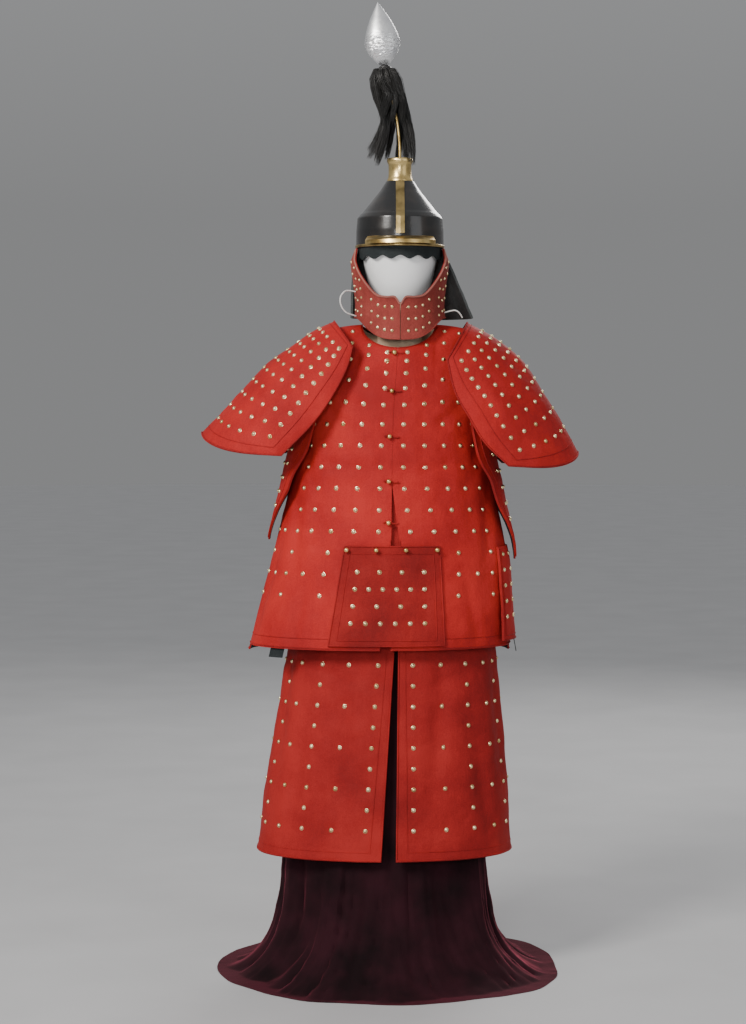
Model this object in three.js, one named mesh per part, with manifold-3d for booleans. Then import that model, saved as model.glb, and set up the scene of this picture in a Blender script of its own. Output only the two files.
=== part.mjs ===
// Manchu banner armour on its display stand: a studded suit of padded cotton (jacket, front flap,
// side flap, shoulder guards, armpit guards, two-piece skirt) and a lacquered helmet with its
// cloth curtain, plume and finial. The stand is a limbless dress form with a head block, a post
// and base, and a velvet cover that hangs from the waist to the floor.
// Millimetres, +Z up, front towards -Y, wearer's right towards -X, origin on the floor.
import * as THREE from "three";
import { mergeVertices } from "three/addons/utils/BufferGeometryUtils.js";
import Module from "manifold-3d";

const wasm = await Module();
wasm.setup();

// Cloth and seams
const PADDED_CLOTH = 3.6;
const CURTAIN_CLOTH = 3;
const VELVET = 2.4;
const SEAM = 0.2;
const SEAT = 0.45;
const LAID_ON = 0.8;
const STUD = { radius: 5.5, height: 4 };
const BUTTON_RADIUS = 5.5;

// Body grid: columns in each quarter turn, level rows below the chest, rolled rows over the shoulder
const QUARTER = Math.PI / 2;
const QUARTER_COLUMNS = 7;
const LEVEL_ROWS = 11;
const ROLLED_ROWS = 6;
const CHEST_SHARE = LEVEL_ROWS / (LEVEL_ROWS + ROLLED_ROWS);
const NECK_COLUMN = 2;
const SQUARENESS = 0.85;

const CHEST_Z = 1250;
const ARMPIT_Z = 1200;
const NECK_SIDE_Z = 1448;
const SHOULDER_HALF = 190;
const NECK_HALF = SHOULDER_HALF * Math.sin((NECK_COLUMN / QUARTER_COLUMNS) * QUARTER);
const SHOULDER_SLOPE = 0.05;
const SHOULDER_ROUND = 0.00125;

// Jacket: half width and depths at each height, and how far the middle leans sideways
const JACKET = {
  hem: { front: 735, back: 720 },
  neck: { front: { drop: 54, depth: 95 }, back: { drop: 14, depth: 62 } },
  seamHalf: 0,
  lower: 0,
  armholeHalf: 48,
  rows: [
    { z: 700, half: 298, front: 190, back: 175, lean: -27 },
    { z: 735, half: 293, front: 186, back: 170, lean: -23 },
    { z: 845, half: 278, front: 174, back: 158, lean: -10 },
    { z: 950, half: 260, front: 160, back: 147, lean: 1 },
    { z: 1060, half: 236, front: 145, back: 136, lean: 3 },
    { z: 1160, half: 217, front: 131, back: 127, lean: 4 },
    { z: 1250, half: 204, front: 121, back: 120, lean: 7 },
    { z: 1340, half: 194, front: 115, back: 115, lean: 13 },
    { z: 1448, half: 190, front: 110, back: 110, lean: 20 },
  ],
};
// The left front draws back from the opening below its last button, by this share of a quarter turn
const SPREAD = { from: 1100, to: 950, share: 0.05 };

// Dress form inside the jacket, meeting it along the shoulder line
const FORM_BOTTOM = 880;
const FORM = {
  hem: { front: FORM_BOTTOM, back: FORM_BOTTOM },
  neck: { front: { drop: 68, depth: 78 }, back: { drop: 22, depth: 50 } },
  seamHalf: 3,
  lower: 5.9,
  armholeHalf: 0,
  rows: [
    { z: 880, half: 165, front: 112, back: 108, lean: -6 },
    { z: 960, half: 165, front: 112, back: 108, lean: -4 },
    { z: 1060, half: 174, front: 108, back: 108, lean: 1 },
    { z: 1160, half: 186, front: 107, back: 107, lean: 4 },
    { z: 1250, half: 192, front: 108, back: 108, lean: 7 },
    { z: 1340, half: 184, front: 98, back: 98, lean: 13 },
    { z: 1448, half: 183, front: 92, back: 92, lean: 20 },
  ],
};
const NECK_RADIUS = 50;
const NECK_TOP = 1496;

// Skirt: two panels that wrap from the front gap to the back gap
const SKIRT_HEM = 272;
const SKIRT_WAIST = 950;
const SKIRT_WAIST_EASE = 2.6;
const SKIRT_COLUMNS = 11;
const SKIRT_STUD_PITCH = 45;
const SKIRT_STUD_ROWS = 10;
const SKIRT = [
  { z: 272, half: 289, front: 190, back: 180, lean: -13 },
  { z: 400, half: 276, front: 181, back: 172, lean: -8 },
  { z: 550, half: 258, front: 169, back: 161, lean: -3 },
  { z: 735, half: 233, front: 151, back: 145, lean: 4 },
  { z: 860, half: 204, front: 134, back: 130, lean: 0 },
  {
    z: SKIRT_WAIST,
    half: 165 + SKIRT_WAIST_EASE + PADDED_CLOTH,
    front: 112 + SKIRT_WAIST_EASE + PADDED_CLOTH,
    back: 108 + SKIRT_WAIST_EASE + PADDED_CLOTH,
    lean: -4,
  },
];
// Front edge of each skirt panel, measured sideways from the middle of the part
const SKIRT_FRONT_EDGE = { right: { top: 8, bottom: -20 }, left: { top: 17, bottom: 12 } };
const SKIRT_BACK_EDGE = 8;

// Velvet cover of the stand, from under the skirt's waist to the floor
const DRAPE_COLUMNS = 36;
const DRAPE_ROWS = 7;
const DRAPE = [
  { t: 0, z: 2.6, half: 383, front: 344, back: 352, lean: 0, fold: 7 },
  { t: 0.1, z: 7, half: 352, front: 320, back: 318, lean: 0, fold: 9 },
  { t: 0.2, z: 30, half: 308, front: 270, back: 266, lean: 0, fold: 10 },
  { t: 0.3, z: 75, half: 268, front: 216, back: 214, lean: -2, fold: 10 },
  { t: 0.42, z: 150, half: 244, front: 180, back: 178, lean: -4, fold: 8 },
  { t: 0.56, z: 270, half: 233, front: 164, back: 162, lean: -6, fold: 6 },
  { t: 0.74, z: 500, half: 216, front: 150, back: 148, lean: -4, fold: 3 },
  { t: 0.88, z: 735, half: 192, front: 128, back: 126, lean: 0, fold: 1 },
  { t: 1, z: 915, half: 168.9, front: 115.9, back: 111.9, lean: -5, fold: 0 },
];
// Velvet folds: where each lies round the cover, half its width, and how far it stands out or in
const DRAPE_FOLDS = [
  { turn: 4, half: 15, out: 1.2 },
  { turn: 30, half: 12, out: -1 },
  { turn: 55, half: 14, out: 1.1 },
  { turn: 92, half: 20, out: -1.3 },
  { turn: 128, half: 18, out: 1.4 },
  { turn: 165, half: 20, out: -1.1 },
  { turn: 200, half: 18, out: 1.2 },
  { turn: 238, half: 18, out: -1.2 },
  { turn: 270, half: 18, out: 1.1 },
  { turn: 305, half: 16, out: -1.2 },
  { turn: 333, half: 12, out: 1.3 },
];

// Stand
const BASE = { radius: 200, height: 14 };
const POST_RADIUS = 22;

// Shoulder guards: the ridge over the arm and the front edge, from the neck end (along 0) to the hem (1)
const GUARD = { columns: 10, rows: 10, hemBulge: 20 };
const GUARD_SIDES = {
  right: {
    ridge: [
      { along: 0, x: -123, z: 1456 },
      { along: 0.16, x: -170, z: 1434.4 },
      { along: 0.32, x: -214, z: 1405 },
      { along: 0.52, x: -276, z: 1362 },
      { along: 0.74, x: -342, z: 1292 },
      { along: 0.9, x: -394, z: 1237 },
      { along: 1, x: -423, z: 1206 },
    ],
    edge: [
      { along: 0, x: -82, y: 118, z: 1396 },
      { along: 0.25, x: -97, y: 130, z: 1343 },
      { along: 0.5, x: -130, y: 138, z: 1281 },
      { along: 0.75, x: -172, y: 141, z: 1224 },
      { along: 1, x: -238, y: 136, z: 1157 },
    ],
  },
  left: {
    ridge: [
      { along: 0, x: 171, z: 1453 },
      { along: 0.14, x: 210, z: 1433 },
      { along: 0.3, x: 250, z: 1409 },
      { along: 0.5, x: 298, z: 1368 },
      { along: 0.72, x: 346, z: 1298 },
      { along: 0.9, x: 397, z: 1212 },
      { along: 1, x: 423, z: 1162 },
    ],
    edge: [
      { along: 0, x: 124, y: 116, z: 1368 },
      { along: 0.25, x: 140, y: 130, z: 1297 },
      { along: 0.5, x: 171, y: 139, z: 1240 },
      { along: 0.75, x: 206, y: 141, z: 1184 },
      { along: 1, x: 258, y: 136, z: 1135 },
    ],
  },
};

// Armpit guards: half their spread round the side and their stand-off, from the top (down 0) to the tip (1)
const ARMPIT_COLUMNS = 6;
const ARMPIT_ROWS = 9;
const ARMPIT_TOP_SPREAD = (3 / QUARTER_COLUMNS) * 90;
const ARMPIT_SIDES = { right: { top: 1250, tip: 968 }, left: { top: 1250, tip: 924 } };
const ARMPIT_SHAPE = [
  { down: 0, spread: ARMPIT_TOP_SPREAD, off: 12 },
  { down: 0.12, spread: 37, off: 9 },
  { down: 0.3, spread: 36, off: 14 },
  { down: 0.46, spread: 29, off: 17 },
  { down: 0.6, spread: 26, off: 18 },
  { down: 0.76, spread: 17, off: 18 },
  { down: 0.9, spread: 9, off: 17 },
  { down: 1, spread: 2.5, off: 16 },
];

// Front flap: a trapezoid on the jacket's front; side flap: on the wearer's left hip
const FRONT_FLAP = { top: 962, bottom: 744, topHalf: 104, bottomHalf: 128, topMid: 4, bottomMid: -9 };
const FRONT_FLAP_GRID = { columns: 8, rows: 6 };
const SIDE_FLAP = { top: 956, bottom: 748, spread: (2 / QUARTER_COLUMNS) * 90, flare: 9 };
const SIDE_FLAP_GRID = { columns: 4, rows: 6 };
const FLAP_TIE = { width: 9, length: 26, thick: 1.6 };

// Helmet
const HEAD_X = 22;
const HELMET_RIM_Z = 1618;
const HELMET_SEGMENTS = 24;
const SKULL_WALL = 3;
// Outer profile of the helmet bowl, from the rim up to the collar
const SKULL = [
  { z: HELMET_RIM_Z, radius: 98 },
  { z: 1655, radius: 97.5 },
  { z: 1684, radius: 95 },
  { z: 1693, radius: 88 },
  { z: 1696, radius: 84 },
  { z: 1722, radius: 63 },
  { z: 1746, radius: 44 },
  { z: 1766, radius: 31 },
];
const STRIP = { width: 19, thick: 3.2, from: 1645 };
const COLLAR = { bottom: 1766.3, top: 1817, waist: 25.5, lip: 28.5, lipHeight: 8 };
const VISOR = { spread: 46, reach: 27, slope: 9, thick: 3, top: 1640, lip: 17 };
const LINING = { radius: 93.5, wall: 3, top: 1650, bottom: 1594, scallop: 4, scallops: 14 };
const HEAD = [
  { z: NECK_TOP + 0.3, radius: 50 },
  { z: 1512, radius: 60 },
  { z: 1545, radius: 72 },
  { z: 1590, radius: 82 },
  { z: 1640, radius: 86 },
  { z: 1680, radius: 83.5 },
];
const HEAD_PAD_TOP = 1722;

// Cloth curtain of the helmet
const CURTAIN = [
  { z: 1400, radius: 107 },
  { z: 1440, radius: 104 },
  { z: 1490, radius: 101 },
  { z: 1540, radius: 105 },
  { z: 1585, radius: 110 },
  { z: 1605, radius: 104 },
  { z: HELMET_RIM_Z, radius: 98.4 },
];
// Ear guard: top and bottom edge at each turn from the chin to behind the ear
const EAR_EDGES = [
  { turn: 0.4, top: 1491, bottom: 1412 },
  { turn: 6, top: 1507, bottom: 1412 },
  { turn: 18, top: 1508, bottom: 1414 },
  { turn: 31, top: 1513, bottom: 1422 },
  { turn: 44, top: 1534, bottom: 1436 },
  { turn: 57, top: 1562, bottom: 1452 },
  { turn: 68, top: 1596, bottom: 1459 },
  { turn: 78, top: HELMET_RIM_Z - SEAT, bottom: 1461 },
  { turn: 98, top: HELMET_RIM_Z - SEAT, bottom: 1462 },
];
const EAR_ROWS = 5;
// Nape guard: turns run from the wearer's left round the back to the right
const NAPE = { from: 99, to: 258, columns: 12, rows: 4, bottom: 1463 };
const NAPE_FLARE = [
  { turn: 90, out: 66 },
  { turn: 130, out: 52 },
  { turn: 190, out: 26 },
  { turn: 260, out: 8 },
];

// Plume, its rod and the finial
const ROD_RADIUS = 3.6;
const ROD_POINTS = [
  { x: 22, z: COLLAR.top + 0.3 },
  { x: 21, z: 1850 },
  { x: 14, z: 1910 },
  { x: 0, z: 1965 },
  { x: -9, z: 1989 },
];
const HUB = { x: -11, bottom: 1990.5, top: 2024, radius: 17 };
const LOCK_SIDES = 3;
const LOCK_RINGS = [
  { count: 10, reach: 33, length: 214, thick: 7.5 },
  { count: 5, reach: 19, length: 196, thick: 6.5 },
];
// A lock's way down: its share of the ring's reach, and how far the whole plume drifts sideways
const LOCK_PATH = [
  { down: 0, reach: 0.35, drift: 0 },
  { down: 0.1, reach: 0.92, drift: 2 },
  { down: 0.32, reach: 1.04, drift: 9 },
  { down: 0.56, reach: 1, drift: 23 },
  { down: 0.78, reach: 1.3, drift: 23 },
  { down: 1, reach: 1.62, drift: 14 },
];
const FINIAL = { bottom: 2024.3, height: 138, tilt: 6.5, flatten: 0.72 };
const FINIAL_PROFILE = [
  { up: 0, radius: 12 },
  { up: 0.07, radius: 21 },
  { up: 0.2, radius: 34 },
  { up: 0.34, radius: 39 },
  { up: 0.52, radius: 34 },
  { up: 0.7, radius: 24 },
  { up: 0.86, radius: 12 },
];

// White cotton ties between the helmet curtain and the shoulders
const TIE_RADIUS = 1.6;
const TIE_ROUTES = {
  right: [
    [-75.9, -31.4, 1466],
    [-98, -44, 1474],
    [-109, -50, 1490],
    [-110, -50, 1507],
    [-102, -46, 1519],
    [-93, -40, 1522],
    [-76.8, -33.4, 1520],
  ],
  left: [
    [121, -25.9, 1474],
    [137, -30, 1478],
    [147, -30, 1478],
    [155, -26, 1472],
    [161, -20, 1463],
  ],
};

const MATERIALS = {
  red: { color: 0xb32720, roughness: 0.85, metalness: 0 },
  rust: { color: 0xa4473c, roughness: 0.88, metalness: 0 },
  velvet: { color: 0x2a1216, roughness: 0.95, metalness: 0 },
  linen: { color: 0xd8bfa4, roughness: 0.85, metalness: 0 },
  white: { color: 0xf2f2f0, roughness: 0.7, metalness: 0 },
  lacquer: { color: 0x191919, roughness: 0.3, metalness: 0 },
  lining: { color: 0x26292b, roughness: 0.8, metalness: 0 },
  brass: { color: 0xc9ac5f, roughness: 0.32, metalness: 1 },
  hair: { color: 0x121212, roughness: 0.6, metalness: 0 },
  silver: { color: 0xe8e8ea, roughness: 0.2, metalness: 1 },
  steel: { color: 0x4a4a4c, roughness: 0.45, metalness: 0.8 },
};

const V3 = (x, y, z) => new THREE.Vector3(x, y, z);
const clamp01 = (value) => Math.min(Math.max(value, 0), 1);
const lerp = THREE.MathUtils.lerp;
const radians = THREE.MathUtils.degToRad;
const evenly = (count) => Array.from({ length: count + 1 }, (_, i) => i / count);

// A table's row at any value of its key column, on a smooth curve through the stated rows
function rowAt(rows, key, value) {
  const last = rows.length - 1;
  let i = 0;
  while (i < last - 1 && value > rows[i + 1][key]) i += 1;
  const [a, b] = [rows[i], rows[i + 1]];
  const [before, after] = [rows[Math.max(i - 1, 0)], rows[Math.min(i + 2, last)]];
  const span = b[key] - a[key];
  const t = clamp01((value - a[key]) / span);
  const row = {};
  for (const column of Object.keys(a)) {
    const slopeA = ((b[column] - before[column]) / (b[key] - before[key])) * span;
    const slopeB = ((after[column] - a[column]) / (after[key] - a[key])) * span;
    const cubic = 2 * a[column] - 2 * b[column] + slopeA + slopeB;
    const square = -3 * a[column] + 3 * b[column] - 2 * slopeA - slopeB;
    row[column] = ((cubic * t + square) * t + slopeA) * t + a[column];
  }
  return row;
}

// Turns every face of a closed geometry outwards
function facedOut(geometry) {
  const p = geometry.getAttribute("position");
  const index = geometry.index.array;
  const corner = (i) => V3().fromBufferAttribute(p, index[i]);
  let volume = 0;
  for (let i = 0; i < index.length; i += 3) {
    volume += corner(i).dot(corner(i + 1).cross(corner(i + 2)));
  }
  if (volume < 0) {
    for (let i = 0; i < index.length; i += 3) {
      [index[i + 1], index[i + 2]] = [index[i + 2], index[i + 1]];
    }
  }
  return geometry;
}

function geometryOf(points, faces) {
  const flat = points.flatMap((p) => [p.x, p.y, p.z]);
  const geometry = new THREE.BufferGeometry();
  geometry.setAttribute("position", new THREE.Float32BufferAttribute(flat, 3));
  geometry.setIndex(faces.flat());
  return facedOut(geometry);
}

function solidOf(geometry) {
  const bare = geometry.clone();
  bare.deleteAttribute("normal");
  bare.deleteAttribute("uv");
  const merged = mergeVertices(bare, 1e-3);
  return new wasm.Manifold(
    new wasm.Mesh({
      numProp: 3,
      vertProperties: merged.attributes.position.array,
      triVerts: new Uint32Array(merged.index.array),
    }),
  );
}

function joined(geometries) {
  const whole = geometries.map(solidOf).reduce((a, b) => a.add(b)).getMesh();
  const geometry = new THREE.BufferGeometry();
  geometry.setAttribute("position", new THREE.BufferAttribute(whole.vertProperties, 3));
  geometry.setIndex(new THREE.BufferAttribute(whole.triVerts, 1));
  return geometry;
}

// A wall of cloth. point(s, t) is its outer face, and the plain inner face lies `thick` behind it.
// hasStud(column, row) raises a stud in the outer face. seam(normal, s, t) may turn an edge's normal
// into its seam's plane. A round wall closes on itself in s.
function clothWall({ columns, rows, thick, point, inside, seam, hasStud, round = false }) {
  const STEP = 1e-3;
  const across = Array.isArray(columns) ? columns : evenly(columns);
  const up = Array.isArray(rows) ? rows : evenly(rows);
  const wrap = (s) => (round ? s : clamp01(s));
  const rawNormal = (s, t) => {
    const alongS = point(wrap(s + STEP), t).sub(point(wrap(s - STEP), t));
    const alongT = point(s, clamp01(t + STEP)).sub(point(s, clamp01(t - STEP)));
    return alongS.cross(alongT).normalize();
  };
  const middle = point(0.5, 0.5);
  const facing = rawNormal(0.5, 0.5).dot(middle.clone().sub(inside ?? V3(0, 0, middle.z))) < 0 ? -1 : 1;
  const normal = (s, t) => {
    const n = rawNormal(s, t).multiplyScalar(facing);
    seam?.(n, s, t);
    return n.normalize();
  };
  const points = [];
  const faces = [];
  const add = (p) => points.push(p) - 1;
  const quad = (a, b, c, d) => faces.push([a, b, c], [a, c, d]);
  const uses = round ? across.slice(0, -1) : across;
  const outer = up.map((t) => uses.map((s) => add(point(s, t))));
  const inner = up.map((t) =>
    uses.map((s) => add(point(s, t).addScaledVector(normal(s, t), -thick))),
  );
  const at = (grid, i, j) => grid[j][i % uses.length];

  const raiseStud = (i, j) => {
    const [s0, s1, t0, t1] = [across[i], across[i + 1], up[j], up[j + 1]];
    const [s, t] = [(s0 + s1) / 2, (t0 + t1) / 2];
    const halfS = ((s1 - s0) * STUD.radius) / point(s0, t).distanceTo(point(s1, t));
    const halfT = ((t1 - t0) * STUD.radius) / point(s, t0).distanceTo(point(s, t1));
    const ring = [[-1, -1], [1, -1], [1, 1], [-1, 1]].map(([a, b]) =>
      add(point(s + a * halfS, t + b * halfT)),
    );
    const top = add(point(s, t).addScaledVector(normal(s, t), STUD.height));
    const corners = [at(outer, i, j), at(outer, i + 1, j), at(outer, i + 1, j + 1), at(outer, i, j + 1)];
    for (let k = 0; k < 4; k += 1) {
      const next = (k + 1) % 4;
      quad(corners[k], corners[next], ring[next], ring[k]);
      faces.push([ring[k], ring[next], top]);
    }
  };

  for (let j = 0; j < up.length - 1; j += 1) {
    for (let i = 0; i < across.length - 1; i += 1) {
      if (hasStud?.(i, j)) raiseStud(i, j);
      else quad(at(outer, i, j), at(outer, i + 1, j), at(outer, i + 1, j + 1), at(outer, i, j + 1));
      quad(at(inner, i, j), at(inner, i, j + 1), at(inner, i + 1, j + 1), at(inner, i + 1, j));
    }
  }
  const topRow = up.length - 1;
  for (let i = 0; i < across.length - 1; i += 1) {
    quad(at(outer, i + 1, 0), at(outer, i, 0), at(inner, i, 0), at(inner, i + 1, 0));
    quad(at(outer, i, topRow), at(outer, i + 1, topRow), at(inner, i + 1, topRow), at(inner, i, topRow));
  }
  if (!round) {
    const end = across.length - 1;
    for (let j = 0; j < topRow; j += 1) {
      quad(at(outer, 0, j), at(outer, 0, j + 1), at(inner, 0, j + 1), at(inner, 0, j));
      quad(at(outer, end, j + 1), at(outer, end, j), at(inner, end, j), at(inner, end, j + 1));
    }
  }
  return geometryOf(points, faces);
}

// Height of the shoulder line, or of the neck's edge, above a place across the body
function topOf(body, face, across) {
  const x = SHOULDER_HALF * across;
  const past = Math.max(x - NECK_HALF, 0);
  const line = NECK_SIDE_Z - SHOULDER_SLOPE * past - SHOULDER_ROUND * past * past;
  const hollow = x < NECK_HALF ? Math.sqrt(1 - (x / NECK_HALF) ** 2) : 0;
  const neck = body.neck[face];
  return {
    z: line - neck.drop * hollow - body.lower,
    y: Math.max(neck.depth * hollow, body.seamHalf),
  };
}

// A body's surface: s runs from the middle of the front or back (0) to the side (1), t from hem to top.
// Below the chest its rows are level rings; above it they roll over to the shoulder line.
function bodyPoint(body, face, side, s, t) {
  const across = Math.sin(s * QUARTER);
  const out = Math.max(Math.cos(s * QUARTER), 0) ** SQUARENESS;
  const top = topOf(body, face, across);
  const roll = Math.max((t - CHEST_SHARE) / (1 - CHEST_SHARE), 0) * QUARTER;
  const hem = body.hem[face];
  const level = hem + (CHEST_Z - hem) * Math.min(t / CHEST_SHARE, 1);
  const z = level + (top.z - CHEST_Z) * Math.sin(roll);
  const row = rowAt(body.rows, "z", z);
  const open = clamp01((z - ARMPIT_Z) / (top.z - ARMPIT_Z));
  const armhole = body.armholeHalf * Math.sin(open * Math.PI);
  const depth = armhole + (row[face] - armhole) * out;
  const y = top.y + (depth - top.y) * Math.cos(roll);
  return V3(row.lean + side * row.half * across, face === "front" ? -y : y, z);
}

// A point on a level ring of a body's table, `off` outside it; turn 0 is the front, 90 the side
function ringPoint(rows, z, turn, side, off) {
  const row = rowAt(rows, "z", z);
  const on = (degrees) => {
    const [sine, cosine] = [Math.sin(radians(degrees)), Math.cos(radians(degrees))];
    const depth = cosine > 0 ? row.front : row.back;
    return V3(row.half * sine, -depth * Math.sign(cosine) * Math.abs(cosine) ** SQUARENESS, 0);
  };
  const along = on(turn + 0.5).sub(on(turn - 0.5));
  const normal = V3(along.y, -along.x, 0).normalize();
  const p = on(turn).addScaledVector(normal, off);
  return V3(row.lean + side * p.x, p.y, z);
}

// Lattice of studs: every column on odd rows, every other column on even rows
const lattice = (column, row) => row % 2 === 1 || column % 2 === 0;
// The jacket's plain hem border and neck edge
const hemOrTop = (row) => row < 2 || row > 15;

function jacketFront(side, hides) {
  const spreadAt = (z) => SPREAD.share * clamp01((SPREAD.from - z) / (SPREAD.from - SPREAD.to));
  const point = (s, t) => {
    const z = bodyPoint(JACKET, "front", side, s, t).z;
    const from = side > 0 ? spreadAt(z) : 0;
    return bodyPoint(JACKET, "front", side, lerp(from, 1, s), t).add(V3(side * SEAM, -SEAM, 0));
  };
  const seam = (n, s, t) => {
    const pastNeck = s >= NECK_COLUMN / QUARTER_COLUMNS;
    if (s === 0) n.x = 0;
    if ((s === 1 && t <= CHEST_SHARE) || (t === 1 && pastNeck)) n.y = 0;
  };
  return clothWall({
    columns: QUARTER_COLUMNS,
    rows: LEVEL_ROWS + ROLLED_ROWS,
    thick: PADDED_CLOTH,
    point,
    seam,
    hasStud: (i, j) => lattice(i, j) && !hides(i, j),
  });
}

function jacketBack() {
  const point = (s, t) => {
    const side = s < 0.5 ? -1 : 1;
    return bodyPoint(JACKET, "back", side, Math.abs(2 * s - 1), t).add(V3(0, SEAM, 0));
  };
  const seam = (n, s, t) => {
    const fromMiddle = Math.abs(2 * s - 1);
    const pastNeck = fromMiddle >= NECK_COLUMN / QUARTER_COLUMNS - 1e-6;
    if ((fromMiddle === 1 && t <= CHEST_SHARE) || (t === 1 && pastNeck)) n.y = 0;
  };
  const hidden = (i, j) => {
    const fromSide = Math.min(i, 2 * QUARTER_COLUMNS - 1 - i);
    const underSideFlap = i > QUARTER_COLUMNS && fromSide < 2 && j < 6;
    return hemOrTop(j) || (j > 13 && fromSide < 4) || (j > 5 && fromSide < 2) || underSideFlap;
  };
  return clothWall({
    columns: 2 * QUARTER_COLUMNS,
    rows: LEVEL_ROWS + ROLLED_ROWS,
    thick: PADDED_CLOTH,
    point,
    seam,
    hasStud: (i, j) => lattice(i, j) && !hidden(i, j),
  });
}

// A flap laid on the jacket's front, made from the jacket's own surface moved out
function frontFlap() {
  const out = SEAM + LAID_ON + PADDED_CLOTH;
  const point = (s, t) => {
    const z = lerp(FRONT_FLAP.bottom, FRONT_FLAP.top, t);
    const x =
      lerp(FRONT_FLAP.bottomMid, FRONT_FLAP.topMid, t) +
      lerp(FRONT_FLAP.bottomHalf, FRONT_FLAP.topHalf, t) * (2 * s - 1);
    const row = rowAt(JACKET.rows, "z", z);
    const turn = THREE.MathUtils.radToDeg(Math.asin((x - row.lean) / row.half));
    return ringPoint(JACKET.rows, z, Math.abs(turn), Math.sign(turn) || 1, out);
  };
  const { columns, rows } = FRONT_FLAP_GRID;
  return clothWall({
    columns,
    rows,
    thick: PADDED_CLOTH,
    point,
    hasStud: (i, j) => i > 0 && i < columns - 1 && j > 0 && j < rows - 1 && (j % 2 === 1 || i % 2 === 1),
  });
}

function sideFlap() {
  const point = (s, t) => {
    const z = lerp(SIDE_FLAP.bottom, SIDE_FLAP.top, t);
    const turn = 90 + SIDE_FLAP.spread * (2 * s - 1);
    return ringPoint(JACKET.rows, z, turn, 1, LAID_ON + PADDED_CLOTH + SIDE_FLAP.flare * (1 - t));
  };
  const { columns, rows } = SIDE_FLAP_GRID;
  return clothWall({
    columns,
    rows,
    thick: PADDED_CLOTH,
    point,
    hasStud: (i, j) => j > 0 && j < rows,
  });
}

// A short ribbon hanging under the side flap
function flapTie(turn) {
  const off = LAID_ON + SIDE_FLAP.flare;
  const top = ringPoint(JACKET.rows, SIDE_FLAP.bottom, turn, 1, off);
  const { width, length, thick } = FLAP_TIE;
  const point = (s, t) =>
    V3(top.x + 4 + 5 * (1 - t), top.y + width * (s - 0.5), SIDE_FLAP.bottom - SEAT - length * (1 - t));
  return clothWall({ columns: 1, rows: 3, thick, point });
}

// Leaf-shaped panel hanging under the arm, seated on the jacket at its top
function armpitGuard(side, { top, tip }) {
  const point = (s, t) => {
    const row = rowAt(ARMPIT_SHAPE, "down", 1 - t);
    const fromMiddle = 2 * s - 1;
    const flare = 8 * Math.abs(fromMiddle) * (1 - t) * t * 4;
    return ringPoint(
      JACKET.rows,
      lerp(tip, top, t),
      90 + row.spread * fromMiddle,
      side,
      row.off + PADDED_CLOTH + flare,
    );
  };
  const MIDDLE_COLUMNS = [1, 2, 3, 4];
  return clothWall({
    columns: ARMPIT_COLUMNS,
    rows: ARMPIT_ROWS,
    thick: PADDED_CLOTH,
    point,
    inside: V3(0, 0, (top + tip) / 2),
    hasStud: (i, j) => MIDDLE_COLUMNS.includes(i) && j > 1 && j < ARMPIT_ROWS - 1,
  });
}

// Half-cone over the upper arm, arched from its front edge over the ridge to its back edge
function shoulderGuard({ ridge, edge }) {
  const point = (s, t) => {
    const over = (2 * s - 1) * QUARTER;
    const top = rowAt(ridge, "along", t);
    const low = rowAt(edge, "along", t);
    const drop = 1 - Math.cos(over);
    const bulge = GUARD.hemBulge * t * t * Math.sin(2 * Math.abs(over));
    return V3(lerp(top.x, low.x, drop), low.y * Math.sin(over), lerp(top.z, low.z, drop) - bulge);
  };
  const { columns, rows } = GUARD;
  const middle = rowAt(ridge, "along", 0.5);
  return clothWall({
    columns,
    rows,
    thick: PADDED_CLOTH,
    point,
    inside: V3(0, 0, middle.z - 300),
    hasStud: (i, j) => i > 0 && i < columns - 1 && j > 0 && j < rows - 1,
  });
}

function skirtPanel(side, edge) {
  const rows = [];
  for (let k = 0; k < SKIRT_STUD_ROWS; k += 1) {
    rows.push((k * SKIRT_STUD_PITCH) / (SKIRT_WAIST - SKIRT_HEM));
  }
  rows.push(0.82, 0.91, 1);
  const turnOfEdge = (z, x) => {
    const row = rowAt(SKIRT, "z", z);
    return THREE.MathUtils.radToDeg(Math.asin((side * (x - row.lean)) / row.half));
  };
  const point = (s, t) => {
    const z = lerp(SKIRT_HEM, SKIRT_WAIST, t);
    const from = turnOfEdge(z, lerp(edge.bottom, edge.top, clamp01(t / 0.66)));
    const to = 180 - turnOfEdge(z, rowAt(SKIRT, "z", z).lean + side * SKIRT_BACK_EDGE);
    const turn = lerp(from, to, s);
    return ringPoint(SKIRT, z, Math.abs(turn), turn < 0 ? -side : side, 0);
  };
  return clothWall({
    columns: SKIRT_COLUMNS,
    rows,
    thick: PADDED_CLOTH,
    point,
    hasStud: (i, j) => j > 0 && j < SKIRT_STUD_ROWS && lattice(i, j),
  });
}

// Velvet cover: rings from the floor to the waist, with folds that die out upwards
function drapeCover() {
  const foldAt = (turn) =>
    DRAPE_FOLDS.reduce((sum, fold) => {
      const away = Math.abs(((turn - fold.turn + 540) % 360) - 180) / fold.half;
      return sum + (away < 1 ? fold.out * Math.cos(away * QUARTER) ** 2 : 0);
    }, 0);
  const point = (s, t) => {
    const turn = (s * 360 + 360) % 360;
    const row = rowAt(DRAPE, "t", t);
    const half = turn <= 180 ? turn : 360 - turn;
    const ring = [{ ...row, z: 0 }, { ...row, z: 1 }];
    const p = ringPoint(ring, 0, half, turn <= 180 ? 1 : -1, row.fold * foldAt(turn));
    return V3(p.x, p.y, row.z);
  };
  const wall = clothWall({ columns: DRAPE_COLUMNS, rows: DRAPE_ROWS, thick: VELVET, point, round: true });
  const p = wall.getAttribute("position");
  for (let i = 0; i < p.count; i += 1) p.setZ(i, Math.max(p.getZ(i), 0));
  return wall;
}

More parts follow.
